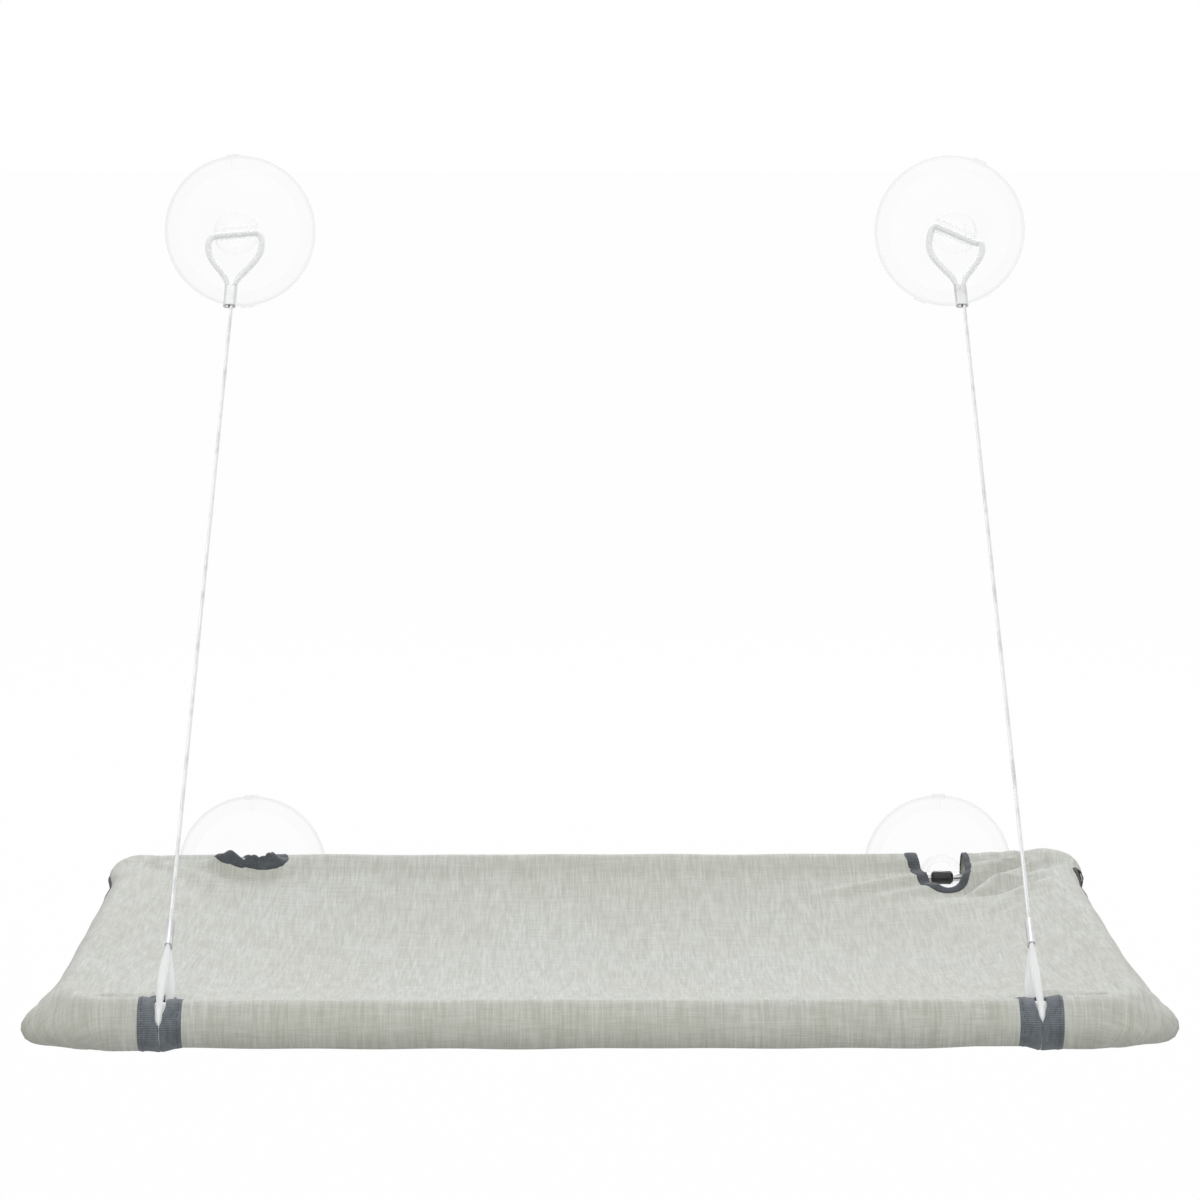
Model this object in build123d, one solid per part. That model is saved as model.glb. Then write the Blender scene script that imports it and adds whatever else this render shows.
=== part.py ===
from build123d import *
import math
import os

# A perch for a cat, held on a window pane by four suction cups.
# A cloth cover is stretched over a tube frame. A steel rod carries the rear edge
# in the heads of the lower cups, and two steel cables hold the front up.
#
# Frame: +Z up, +X to the right, +Y towards the pane. The outer face of the pane is
# the plane y = 0. The origin lies on it, midway between the lower cups, level with
# the rod. All lengths are in millimetres.

# Driving sizes of the whole perch
overall_width = 500.0
frame_depth = 338.0
upper_cup_height = 336.0
# How far in from the widest place of the cover the cups' and the cables' middles lie
lower_cup_inset = 69.0
upper_cup_inset = 66.0
cable_inset = 55.0

# Tube frame
tube_diameter = 19.0
tube_wall = 1.2
corner_radius = 22.0
elbow_wall = 1.3
elbow_collar_length = 12.0
spigot_length = 25.0
socket_clearance = 0.05
tube_end_gap = 0.2

# Cloth cover
cloth_thickness = 0.8
cloth_clearance = 0.3
top_sag = 25.0
bottom_sag = 12.0
sheet_inset = 5.0
sheet_embed = 0.15
bulge_cone_length = 10.0

# Suction cups
cup_diameter = 78.0
cup_height = 14.0
cup_rim_edge = 1.2
cup_hollow_depth = 1.6
cup_rim_width = 7.0
cup_crown_radius = 12.0
neck_diameter = 14.0
neck_length = 7.0
head_diameter = 22.6
head_height = 13.0
head_chamfer = 2.0
mouth_flare = 1.2
tab_bar_length = 6.5
tab_bar_width = 1.6
tab_bar_height = 2.2
tab_stem_length = 8.0
tab_stem_width = 1.6
upper_left_turn = -5.0
upper_right_turn = 23.0
lower_turn = 0.0

# Rod, bushes and spacers at the rear
rod_diameter = 4.0
rod_clearance = 0.05
rod_bottoming = 0.3
bush_diameter = 7.0
bush_length = 11.5
bush_chamfer = 1.4
bush_clearance = 0.05
spacer_wall = 2.2
spacer_gap = 0.8
corner_boss_length = 6.0
rod_reach_into_corner = 12.0

# Cables, sleeves and ferrules
rope_diameter = 1.8
strand_gap = 0.5
strand_clearance = 0.1
sleeve_diameter = 3.3
sleeve_wall = 0.6
sleeve_seat_gap = 0.35
upper_loop_length = 37.0
upper_loop_half_width = 13.7
upper_loop_hole_reach = 15.0
upper_loop_seat = 1.1
upper_loop_shoulder = 15.0
upper_loop_bend = 3.6
lower_loop_length = 41.0
lower_loop_shoulder = 8.0
loop_waist = 4.0
waist_radius = 14.0
ferrule_length = 13.0
ferrule_width = 6.4
ferrule_thickness = 3.4
rope_tail = 0.8

# Openings of the cover and their bindings
binding_proud = 0.5
binding_under = 0.25
binding_gap = 0.1
slot_width = 5.0
slot_binding_width = 7.25
slot_top_reach = 24.0
slot_bottom_reach = 11.0
notch_width = 30.2
notch_reach = 35.5
notch_binding_width = 2.8
bottom_notch_reach = 20.0
side_opening_length = 44.0
side_opening_height = 6.0
side_opening_setback = 3.0
side_binding_width = 2.5

# Closure of the cover, under the rear edge
closure_notch_gap = 15.9
closure_flap_length = 30.0
closure_strip_length = 16.0
closure_strip_setback = 7.0
closure_strip_thickness = 0.7
closure_gap = 0.08

# Screws of the frame
screw_diameter = 3.0
screw_head_diameter = 6.0
screw_head_height = 1.6
screw_length = 6.0
screw_clearance = 0.05
screw_recess_width = 1.0
screw_recess_depth = 0.9

# How far cuts run past what they cut, and the deep end of a block that is cut away
overrun = 30.0

# Shape shares: how the dome of a cup rises from rim to crown, as shares of the radius
# between crown and rim and of the height between rim and crown
dome_shares = ((0.72, 0.10), (0.40, 0.34), (0.16, 0.72))
# Where along its collar an elbow's screw sits, and where along a spigot
screw_place_share = 0.5
# How far the face of a panel is made past its plan before it is trimmed
sag_margin_share = 1.02
sag_grid_count = 13
# How much of its half width the lower loop's round end takes as its radius
lower_round_share = 0.96
# Where between its waist and its shoulder a sleeve stops
sleeve_mouth_share = 0.86

# Values that follow from the sizes above
tube_radius = tube_diameter / 2
tube_bore_radius = tube_radius - tube_wall
elbow_radius = tube_radius + elbow_wall
cover_inner = tube_radius + cloth_clearance
cover_outer = cover_inner + cloth_thickness
bulge_inner = elbow_radius + cloth_clearance
bulge_outer = bulge_inner + cloth_thickness
side_x = overall_width / 2 - bulge_outer
lower_cup_spacing = overall_width - 2 * lower_cup_inset
upper_cup_spacing = overall_width - 2 * upper_cup_inset
cable_spacing = overall_width - 2 * cable_inset
closure_width = lower_cup_spacing - notch_width - 2 * closure_notch_gap
rod_radius = rod_diameter / 2
neck_radius = neck_diameter / 2
head_radius = head_diameter / 2
cup_radius = cup_diameter / 2
head_back = cup_height + neck_length
head_front = head_back + head_height
rod_y = -(head_back + head_height / 2)
front_y = rod_y - frame_depth
straight_x = side_x - corner_radius
rear_straight_y = rod_y - corner_radius
front_straight_y = front_y + corner_radius
sleeve_radius = sleeve_diameter / 2
sleeve_bore_radius = sleeve_radius - sleeve_wall
strand_offset = (rope_diameter + strand_gap) / 2
sheet_edge_z = math.sqrt(cover_outer**2 - sheet_inset**2) - sheet_embed
sheet_half_x = side_x - sheet_inset
sheet_rear_y = rod_y - sheet_inset
sheet_front_y = front_y + sheet_inset
sheet_mid_y = (sheet_rear_y + sheet_front_y) / 2
sheet_half_y = (sheet_rear_y - sheet_front_y) / 2
tab_height = cup_rim_edge + tab_bar_height

SIDES = {"left": -1, "right": 1}


def box_between(low, high):
    """A box from its lowest to its highest corner."""
    size = [b - a for a, b in zip(low, high)]
    centre = [(a + b) / 2 for a, b in zip(low, high)]
    return Pos(*centre) * Box(*size)


def rod_between(start, end, radius):
    """A round bar from one point to another."""
    run = Vector(*end) - Vector(*start)
    return Solid.make_cylinder(radius, run.length, Plane(origin=start, z_dir=run))


def save(shape, name):
    """Write one piece to its own file."""
    export_step(shape, os.path.join("parts", name + ".step"))


# The ring is the closed line through the middle of the frame's tubes.
def ring_corner(side, end):
    """The centre of one corner's bend, and the angle at which its quarter turn starts."""
    y = rear_straight_y if end == "rear" else front_straight_y
    starts = {(1, "rear"): 0, (-1, "rear"): 90, (-1, "front"): 180, (1, "front"): 270}
    return (side * straight_x, y, 0), starts[side, end]


def bend(side, end, radius):
    """A quarter of a torus at one corner of the ring."""
    centre, start = ring_corner(side, end)
    quarter = Solid.make_torus(corner_radius, radius, major_angle=90)
    return Pos(*centre) * Rot(0, 0, start) * quarter


def ring(radius):
    """The whole ring as one round bar of a given radius."""
    solid = rod_between((-straight_x, rod_y, 0), (straight_x, rod_y, 0), radius)
    solid += rod_between((-straight_x, front_y, 0), (straight_x, front_y, 0), radius)
    for side in SIDES.values():
        x = side * side_x
        solid += rod_between((x, front_straight_y, 0), (x, rear_straight_y, 0), radius)
        for end in ("rear", "front"):
            solid += bend(side, end, radius)
    return solid


def collar_axes(side):
    """Where the two straight arms of a front corner start, and which way each runs."""
    return (
        (Vector(side * straight_x, front_y, 0), Vector(-side, 0, 0)),
        (Vector(side * side_x, front_straight_y, 0), Vector(0, 1, 0)),
    )


def front_corner_body(side, radius):
    """A front corner's bend and its two straight arms."""
    body = bend(side, "front", radius)
    for start, along in collar_axes(side):
        body += Solid.make_cylinder(radius, elbow_collar_length, Plane(origin=start, z_dir=along))
    return body


def bulge(side, corner, plain):
    """What the cover needs to go round a front corner, fading to the plain roll."""
    body = front_corner_body(side, corner)
    for start, along in collar_axes(side):
        place = Plane(origin=start + along * elbow_collar_length, z_dir=along)
        body += Solid.make_cone(corner, plain, bulge_cone_length, place)
    return body


# The cover's two panels sag between the tubes.
def sag_face(edge_z, sag):
    """The curved face of a panel that is held level along all four edges."""
    last = sag_grid_count - 1
    steps = [sag_margin_share * (2 * i / last - 1) for i in range(sag_grid_count)]
    rows = []
    for v in steps:
        y = sheet_mid_y + v * sheet_half_y
        rows.append(
            [Vector(u * sheet_half_x, y, edge_z - sag * (1 - u**4) * (1 - v**2)) for u in steps]
        )
    return Face.make_surface_from_array_of_points(rows)


def under_face(face, drop, depth):
    """The solid from a face, lowered by a drop, down through a depth."""
    return Pos(0, 0, -drop) * Solid.extrude(face, Vector(0, 0, -depth))


def sheet_prism():
    """The plan of the panels inside the ring, as a deep prism."""
    plan = RectangleRounded(2 * sheet_half_x, 2 * sheet_half_y, corner_radius - sheet_inset)
    return Pos(0, sheet_mid_y, 0) * extrude(plan, 2 * overrun, both=True)


def panel(outward, sag, outer_extra, inner_extra):
    """One cloth panel: half the wrapped ring, joined to its sagging sheet.

    outward is 1 for the top panel and -1 for the bottom one. The extras make it
    thicker outside and inside, for the bindings that grip its edges.
    """
    ring_outer = ring(cover_outer + outer_extra)
    ring_inner = ring(cover_inner - inner_extra)
    for side in SIDES.values():
        ring_outer += bulge(side, bulge_outer + outer_extra, cover_outer + outer_extra)
        ring_inner += bulge(side, bulge_inner - inner_extra, cover_inner - inner_extra)
    reach = overall_width
    low, high = (0, reach) if outward > 0 else (-reach, 0)
    half = box_between((-reach, -reach, low), (reach, reach, high))
    wraps = (ring_outer & half) - ring_inner
    if outward > 0:
        face = sag_face(sheet_edge_z, sag)
        sheet = under_face(face, -outer_extra, cloth_thickness + outer_extra + inner_extra)
        hollow = under_face(face, cloth_thickness + inner_extra, overrun)
    else:
        face = sag_face(-sheet_edge_z, sag)
        lift = cloth_thickness + inner_extra
        sheet = under_face(face, -lift, lift + outer_extra)
        hollow = under_face(face, -lift - overrun, overrun)
    prism = sheet_prism()
    return (wraps - (hollow & prism)) + ((sheet & prism) - ring_inner)


def notch_prism(side, width, reach, tail):
    """The U-shaped plan of a rear notch, open to the rear, as a deep prism."""
    x = side * lower_cup_spacing / 2
    radius = width / 2
    front = rod_y - reach
    round_end = Pos(x, front + radius, 0) * Cylinder(radius, 2 * overrun)
    arms = box_between((x - radius, front + radius, -overrun), (x + radius, rod_y + tail, overrun))
    return round_end + arms


def slot_block(side, width, top_reach, bottom_reach):
    """The band of the cover that a front slot takes, as two boxes round the front roll."""
    x = side * cable_spacing / 2
    ahead = front_y - overrun
    top = box_between((x - width / 2, ahead, 0), (x + width / 2, front_y + top_reach, overrun))
    low = (x - width / 2, ahead, -overrun)
    return top + box_between(low, (x + width / 2, front_y + bottom_reach, 0))


def side_opening_block(side, margin):
    """The slit along the side of the cover at a rear corner."""
    half = side_opening_height / 2 + margin
    rear = rear_straight_y - side_opening_setback + margin
    front = rear_straight_y - side_opening_setback - side_opening_length - margin
    low_x, high_x = sorted((side * side_x, side * (side_x + overrun)))
    return box_between((low_x, front, -half), (high_x, rear, half))


def cover_cutouts(gap):
    """Everything that the panels leave open for the bindings."""
    cuts = []
    for side in SIDES.values():
        width = notch_width + 2 * (notch_binding_width + gap)
        reach = notch_reach + notch_binding_width + gap
        cuts.append(notch_prism(side, width, reach, overrun))
        slot = slot_width + 2 * (slot_binding_width + gap)
        ends = slot_binding_width / 2 + gap
        cuts.append(slot_block(side, slot, slot_top_reach + ends, slot_bottom_reach + ends))
        cuts.append(side_opening_block(side, side_binding_width + gap))
    return cuts


def make_cover(thick_top, thick_bottom):
    """The two panels, and the bindings that edge their openings."""
    top = panel(1, top_sag, 0, 0)
    bottom = panel(-1, bottom_sag, 0, 0)
    for side in SIDES.values():
        plan_width = notch_width + 2 * binding_gap
        bottom -= notch_prism(side, plan_width, bottom_notch_reach, overrun)
    for cut in cover_cutouts(binding_gap):
        top -= cut
    for side in SIDES.values():
        slot = slot_width + 2 * (slot_binding_width + binding_gap)
        ends = slot_binding_width / 2 + binding_gap
        bottom -= slot_block(side, slot, slot_top_reach + ends, slot_bottom_reach + ends)
        bottom -= side_opening_block(side, side_binding_width + binding_gap)
    save(top, "cover_top")
    save(bottom, "cover_bottom")

    for name, side in SIDES.items():
        outer = notch_prism(side, notch_width + 2 * notch_binding_width,
                            notch_reach + notch_binding_width, overrun)
        inner = notch_prism(side, notch_width, notch_reach, overrun + overrun)
        save((thick_top & outer) - inner, "rear_notch_binding_" + name)

        ends = slot_binding_width / 2
        band = slot_block(side, slot_width + 2 * slot_binding_width,
                          slot_top_reach + ends, slot_bottom_reach + ends)
        slit = slot_block(side, slot_width, slot_top_reach, slot_bottom_reach)
        strip = (thick_top & band) + (thick_bottom & band)
        save(strip - slit, "front_slot_binding_" + name)

        frame = side_opening_block(side, side_binding_width)
        hole = side_opening_block(side, 0)
        strip = (thick_top & frame) + (thick_bottom & frame)
        save(strip - hole, "corner_opening_binding_" + name)


def make_closure():
    """The flap that closes the cover under its rear edge, and its two fastening strips."""
    face = sag_face(-sheet_edge_z, bottom_sag)
    half = closure_width / 2

    def layer(offset, thickness, setback, length):
        rear = rod_y - sheet_inset - setback
        plan = box_between((-half, rear - length, -2 * overrun), (half, rear, 2 * overrun))
        return under_face(face, offset, thickness) & plan

    strip = closure_strip_thickness
    hook_drop = closure_gap
    loop_drop = hook_drop + strip + closure_gap
    flap_drop = loop_drop + strip + closure_gap
    save(layer(hook_drop, strip, closure_strip_setback, closure_strip_length), "closure_hook_strip")
    save(layer(loop_drop, strip, closure_strip_setback, closure_strip_length), "closure_loop_strip")

    flat = layer(flap_drop, cloth_thickness, -sheet_embed, closure_flap_length)
    inner = cover_outer + flap_drop - sheet_embed
    outer = inner + cloth_thickness
    roll = rod_between((-half, rod_y, 0), (half, rod_y, 0), outer)
    roll -= rod_between((-half - overrun, rod_y, 0), (half + overrun, rod_y, 0), inner)
    low = (-half, rod_y - sheet_inset, -overrun)
    roll &= box_between(low, (half, rod_y + overrun, 0))
    save(flat + roll, "closure_flap")


# Tube frame
def make_tube(start, end, name, holes):
    """A plain tube from one point to another, with the holes of its screws."""
    tube = rod_between(start, end, tube_radius) - rod_between(start, end, tube_bore_radius)
    for place in holes:
        tube -= screw_hole(place)
    save(tube, name)


def screw_hole(place):
    """The hole of a screw whose head sits on a surface at a plane."""
    return place * Cylinder(screw_diameter / 2 + screw_clearance, 2 * screw_length)


def screw(place):
    """A pan-head screw with a crossed recess, its head standing on a plane."""
    head = Pos(0, 0, screw_head_height / 2) * Cylinder(screw_head_diameter / 2, screw_head_height)
    head = chamfer(head.edges().group_by(Axis.Z)[-1], screw_head_height / 3)
    shank = Pos(0, 0, -screw_length / 2) * Cylinder(screw_diameter / 2, screw_length)
    recess_z = screw_head_height - screw_recess_depth / 2
    long_side = screw_head_diameter / 2
    for turn in (0, 90):
        arm = Box(long_side, screw_recess_width, screw_recess_depth)
        head -= Pos(0, 0, recess_z) * Rot(0, 0, turn) * arm
    return place * (head + shank)


def screw_places(side):
    """The planes on which one side's screws stand, all facing the inside of the frame."""
    front_tube_x = side * (straight_x - elbow_collar_length * screw_place_share)
    side_tube_y = front_straight_y + elbow_collar_length * screw_place_share
    rear_y = rear_straight_y - spigot_length * screw_place_share
    return {
        "front": Plane(origin=(front_tube_x, front_y + elbow_radius, 0), z_dir=(0, 1, 0)),
        "side": Plane(origin=(side * (side_x - elbow_radius), side_tube_y, 0), z_dir=(-side, 0, 0)),
        "rear": Plane(origin=(side * (side_x - tube_radius), rear_y, 0), z_dir=(-side, 0, 0)),
    }


def make_frame():
    """The front and side tubes, their elbows and the two rear corner blocks."""
    front_end = straight_x - tube_end_gap
    both = [screw_places(side)["front"] for side in SIDES.values()]
    make_tube((-front_end, front_y, 0), (front_end, front_y, 0), "front_tube", both)
    for name, side in SIDES.items():
        places = screw_places(side)
        x = side * side_x
        start = (x, front_straight_y + tube_end_gap, 0)
        end = (x, rear_straight_y - tube_end_gap, 0)
        make_tube(start, end, "side_tube_" + name, [places["side"], places["rear"]])

        elbow = front_corner_body(side, elbow_radius) - bend(side, "front", tube_bore_radius)
        for begin, along in collar_axes(side):
            socket = tube_radius + socket_clearance
            place = Plane(origin=begin, z_dir=along)
            elbow -= Solid.make_cylinder(socket, elbow_collar_length + overrun, place)
        for key in ("front", "side"):
            elbow -= screw_hole(places[key])
        save(elbow, "front_corner_" + name)

        block = bend(side, "rear", tube_radius)
        spigot = tube_bore_radius - socket_clearance
        spigot_end = (x, rear_straight_y - spigot_length, 0)
        block += rod_between((x, rear_straight_y, 0), spigot_end, spigot)
        boss_end = (side * (straight_x - corner_boss_length), rod_y, 0)
        block += rod_between((side * straight_x, rod_y, 0), boss_end, tube_radius)
        rod_seat = (side * (straight_x + rod_reach_into_corner), rod_y, 0)
        block -= rod_between((0, rod_y, 0), rod_seat, rod_radius + rod_clearance)
        block -= screw_hole(places["rear"])
        save(block, "rear_corner_" + name)

        screws = [screw(place) for place in places.values()]
        save(Compound(children=screws), "frame_screws_" + name)


def make_rear_rod():
    """The rod across the rear edge, and the spacer tubes that give the cover its roll."""
    end = straight_x + rod_reach_into_corner - rod_bottoming
    save(rod_between((-end, rod_y, 0), (end, rod_y, 0), rod_radius), "rear_rod")
    cup_x = lower_cup_spacing / 2
    inner = cup_x - head_radius - spacer_gap
    outer = cup_x + head_radius + spacer_gap
    boss = straight_x - corner_boss_length - tube_end_gap
    runs = {"centre": (-inner, inner), "left": (-boss, -outer), "right": (outer, boss)}
    for name, (start, stop) in runs.items():
        a, b = (start, rod_y, 0), (stop, rod_y, 0)
        spacer = rod_between(a, b, tube_radius)
        spacer -= rod_between(a, b, tube_radius - spacer_wall)
        # An end wall at each end centres the spacer on the rod.
        for place, inward in ((start, 1), (stop, -1)):
            wall_end = (place + inward * spacer_wall, rod_y, 0)
            spacer += rod_between((place, rod_y, 0), wall_end, tube_radius)
        spacer -= rod_between(a, b, rod_radius + rod_clearance)
        save(spacer, "rear_spacer_" + name)
    for name, side in SIDES.items():
        x = side * cup_x
        half = bush_length / 2
        a, b = (x - half, rod_y, 0), (x + half, rod_y, 0)
        bush = chamfer(rod_between(a, b, bush_diameter / 2).edges().filter_by(GeomType.CIRCLE),
                       bush_chamfer)
        save(bush - rod_between(a, b, rod_radius + rod_clearance), "rod_bush_" + name)


# Suction cups
def cup_profile():
    """Half the section of a cup: along X its radius, along -Y its distance from the pane."""
    span = cup_radius - cup_crown_radius
    rise = cup_height - cup_rim_edge
    rim = (cup_radius, -cup_rim_edge)
    crown = (cup_crown_radius, -cup_height)
    between = [(cup_crown_radius + r * span, -cup_rim_edge - h * rise) for r, h in dome_shares]
    dome = Spline(rim, *between, crown)
    lip = cup_radius - cup_rim_width
    outline = Polyline(
        crown, (neck_radius, -cup_height), (neck_radius, -head_back), (head_radius, -head_back),
        (head_radius, -head_front), (0, -head_front), (0, -cup_hollow_depth),
    )
    hollow = Polyline((0, -cup_hollow_depth), (lip, 0), (cup_radius, 0), rim)
    return make_face(dome + outline + hollow)


def make_cup(x, z, turn, name):
    """One suction cup on the pane, with its head and its two release tabs, turned about its axis."""
    cup = revolve(cup_profile(), Axis.Y)
    front_edge = cup.edges().group_by(Axis.Y)[0]
    cup = chamfer(front_edge, head_chamfer)
    bar_z = cup_radius
    for half_turn in (0, 180):
        bar = box_between((-tab_bar_length / 2, -tab_height, bar_z - tab_bar_width),
                          (tab_bar_length / 2, 0, bar_z + tab_bar_width / 2))
        stem = box_between((-tab_stem_width / 2, -tab_height, bar_z - tab_stem_length),
                           (tab_stem_width / 2, -cup_rim_edge / 2, bar_z))
        cup += Rot(0, half_turn, 0) * (bar + stem)
    hole = bush_diameter / 2 + bush_clearance
    cup -= rod_between((-cup_radius, rod_y, 0), (cup_radius, rod_y, 0), hole)
    for half_turn in (0, 180):
        flare = Cone(hole, hole + 2 * mouth_flare, 2 * mouth_flare)
        cup -= Rot(0, half_turn, 0) * Pos(head_diameter / 2, rod_y, 0) * Rot(0, 90, 0) * flare
    save(Pos(x, 0, z) * Rot(0, turn, 0) * cup, name)


def make_cups():
    upper_x = upper_cup_spacing / 2
    lower_x = lower_cup_spacing / 2
    make_cup(-upper_x, upper_cup_height, upper_left_turn, "suction_cup_upper_left")
    make_cup(upper_x, upper_cup_height, upper_right_turn, "suction_cup_upper_right")
    make_cup(-lower_x, 0, lower_turn, "suction_cup_lower_left")
    make_cup(lower_x, 0, lower_turn, "suction_cup_lower_right")


# Cables
def cable_frame(side):
    """The line of one cable: its upper and lower anchors, its direction and its loops' planes."""
    upper = Vector(side * upper_cup_spacing / 2, rod_y, upper_cup_height)
    lower = Vector(side * cable_spacing / 2, front_y, 0)
    along = (lower - upper).normalized()
    level = Vector(1, 0, 0)
    across = (level - along * level.dot(along)).normalized()
    up = along.cross(across).normalized()
    return upper, lower, along, across, up


def upper_loop_corners(side):
    """The corners of the loop through a cup's head, from its left mouth to its right one.

    The loop runs straight through the cross hole, which turns with the cup.
    """
    upper, lower, along, across, up = cable_frame(side)
    turn = math.radians(upper_left_turn if side < 0 else upper_right_turn)
    hole = Vector(math.cos(turn), 0, -math.sin(turn))
    half = upper_loop_half_width
    waist = upper_loop_length - loop_waist
    shape = [(-strand_offset, waist), (-half, upper_loop_shoulder)]
    left = [upper + across * u + along * s for u, s in shape]
    right = [upper - across * u + along * s for u, s in reversed(shape)]
    reach = hole * upper_loop_hole_reach
    seat = upper + along * upper_loop_seat
    return left + [seat - reach, seat + reach] + right


def lower_loop_corners(side):
    """The corners of the loop round the front tube, from its upper mouth to its lower one."""
    upper, lower, along, across, up = cable_frame(side)
    half = tube_radius + sleeve_seat_gap + sleeve_radius
    waist = lower_loop_length - loop_waist
    shape = [(strand_offset, -waist), (half, -lower_loop_shoulder), (half, half)]
    shape += [(-u, s) for u, s in reversed(shape)]
    return [lower + up * u + along * s for u, s in shape]


def loop_sleeve(corners, radii):
    """A sleeve over one loop; its ends stop where the two strands come together."""
    first = corners[1] + (corners[0] - corners[1]) * sleeve_mouth_share
    last = corners[-2] + (corners[-1] - corners[-2]) * sleeve_mouth_share
    line = FilletPolyline(first, *corners[1:-1], last, radius=radii[1:-1])
    return tube_along(line, sleeve_radius) - tube_along(line, sleeve_bore_radius)


def tube_along(line, radius):
    """A round bar along a path of straight runs and arcs."""
    section = Plane(origin=line @ 0, z_dir=line % 0) * Circle(radius)
    return sweep(section, path=line)


def ferrule(centre, along, wide):
    """An oval ferrule pressed round the two strands of the cable."""
    place = Plane(origin=centre, x_dir=wide, z_dir=along)
    body = extrude(SlotOverall(ferrule_width, ferrule_thickness), ferrule_length / 2, both=True)
    hole_radius = rope_diameter / 2 + strand_clearance
    hole = SlotOverall(2 * (strand_offset + hole_radius), 2 * hole_radius)
    return place * (body - extrude(hole, ferrule_length, both=True))


def make_cables():
    """The cables with their eye loops, the sleeves in the loops and the ferrules."""
    lower_half = tube_radius + sleeve_seat_gap + sleeve_radius
    upper_radii = [waist_radius, waist_radius, upper_loop_bend]
    upper_radii += list(reversed(upper_radii))
    lower_radii = [waist_radius, waist_radius, lower_round_share * lower_half]
    lower_radii += list(reversed(lower_radii))
    for name, side in SIDES.items():
        upper, lower, along, across, up = cable_frame(side)
        top = upper_loop_corners(side)
        bottom = lower_loop_corners(side)
        tail = ferrule_length + rope_tail
        top_tail = upper + along * (upper_loop_length + tail) - across * strand_offset
        bottom_tail = lower - along * (lower_loop_length + tail) - up * strand_offset
        line = FilletPolyline(top_tail, *top, *bottom, bottom_tail, radius=upper_radii + lower_radii)
        rope = tube_along(line, rope_diameter / 2)
        drawn = rope.volume / (math.pi * (rope_diameter / 2) ** 2)
        print(f"cable_{name}: line {line.length:.1f} mm, solid {drawn:.1f} mm long")
        print(f"cable_{name}: radii {upper_radii + lower_radii}")
        save(rope, "cable_" + name)

        save(loop_sleeve(top, upper_radii), "upper_loop_sleeve_" + name)
        save(loop_sleeve(bottom, lower_radii), "lower_loop_sleeve_" + name)

        middle = ferrule_length / 2
        upper_place = upper + along * (upper_loop_length + middle)
        lower_place = lower - along * (lower_loop_length + middle)
        save(ferrule(upper_place, along, across), "upper_ferrule_" + name)
        save(ferrule(lower_place, along, up), "lower_ferrule_" + name)


def main():
    os.makedirs("parts", exist_ok=True)
    make_cups()
    make_rear_rod()
    make_frame()
    make_cables()
    thick_top = panel(1, top_sag, binding_proud, binding_under)
    thick_bottom = panel(-1, bottom_sag, binding_proud, binding_under)
    make_cover(thick_top, thick_bottom)
    make_closure()


main()
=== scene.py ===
# %% [markdown]
# # A cloth perch that hangs on a window
# The real thing is a cloth cover stretched over a frame of thin tubes. The frame turns on a rod
# that runs through two lower suction cups, and two steel ropes hold its front bar from two upper
# cups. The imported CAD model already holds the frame, the cups, the rod and the joint, each at its
# real size. This lesson dresses it: the cloth, its tapes and stitches, the ropes, the clear
# sleeves and all finishes are made here, at the places that the CAD model gives.
#
# Lengths inside the functions are millimetres, as on a workshop drawing. Every mesh is made in
# metres, by one factor, because Blender and the CAD model both count in metres.

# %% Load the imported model
import bpy
import bmesh
import math
import numpy as np
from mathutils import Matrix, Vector


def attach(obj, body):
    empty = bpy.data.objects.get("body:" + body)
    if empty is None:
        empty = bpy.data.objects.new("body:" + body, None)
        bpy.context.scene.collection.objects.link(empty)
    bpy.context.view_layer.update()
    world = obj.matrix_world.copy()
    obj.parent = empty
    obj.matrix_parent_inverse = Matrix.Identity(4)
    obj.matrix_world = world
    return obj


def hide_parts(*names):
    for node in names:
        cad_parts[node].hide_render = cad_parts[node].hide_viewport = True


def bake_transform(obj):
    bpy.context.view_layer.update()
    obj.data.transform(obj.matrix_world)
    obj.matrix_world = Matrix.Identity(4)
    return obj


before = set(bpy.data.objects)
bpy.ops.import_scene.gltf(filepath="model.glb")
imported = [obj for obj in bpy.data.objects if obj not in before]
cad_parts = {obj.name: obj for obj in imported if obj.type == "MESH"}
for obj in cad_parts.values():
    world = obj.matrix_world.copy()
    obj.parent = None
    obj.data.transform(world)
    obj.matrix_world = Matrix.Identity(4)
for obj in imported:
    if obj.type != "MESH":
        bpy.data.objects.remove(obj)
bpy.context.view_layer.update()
MM = 0.001
SIDES = {"left": -1, "right": 1}

# %% [markdown]
# ## Sizes of the frame and the cups
# Cloth, ropes and cups all meet at a few places, so their sizes are written once. X runs to the
# right, Y towards the window, and Z up from the rod. The cloth rolls round the tubes with a radius
# of 10.6 mm, which is the tube's 9.5 mm and the cloth on it. The frame's corners are round, so a
# smaller rectangle, the straight lengths, is the base from which the cloth is spread out later.

# %% Frame and cup sizes
ROD_Y = -27.5
FRONT_Y = -365.5
SIDE_X = 238.1
CORNER = 22.0
STRAIGHT_X = SIDE_X - CORNER
REAR_STRAIGHT = ROD_Y - CORNER
FRONT_STRAIGHT = FRONT_Y + CORNER
ROLL = 10.6
ROPE_X = 195.0
CUP_X_UPPER = 184.0
CUP_X_LOWER = 181.0
CUP_Z = 336.0
print("tube lines", 2 * SIDE_X, "by", ROD_Y - FRONT_Y, "mm; upper cups", CUP_Z, "mm above the rod")

# %% [markdown]
# ## Shader maths: one call for nodes, one class for values
# A finish is a small sum: some noise, times a weight, plus a rib. In the node editor that takes
# dozens of boxes. Here one function adds any node from its type, its settings and its sockets, and
# one class wraps a socket, so that a plain Python expression adds the Math nodes behind it. The
# same function serves the shader trees and the Geometry Nodes tree.

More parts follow.
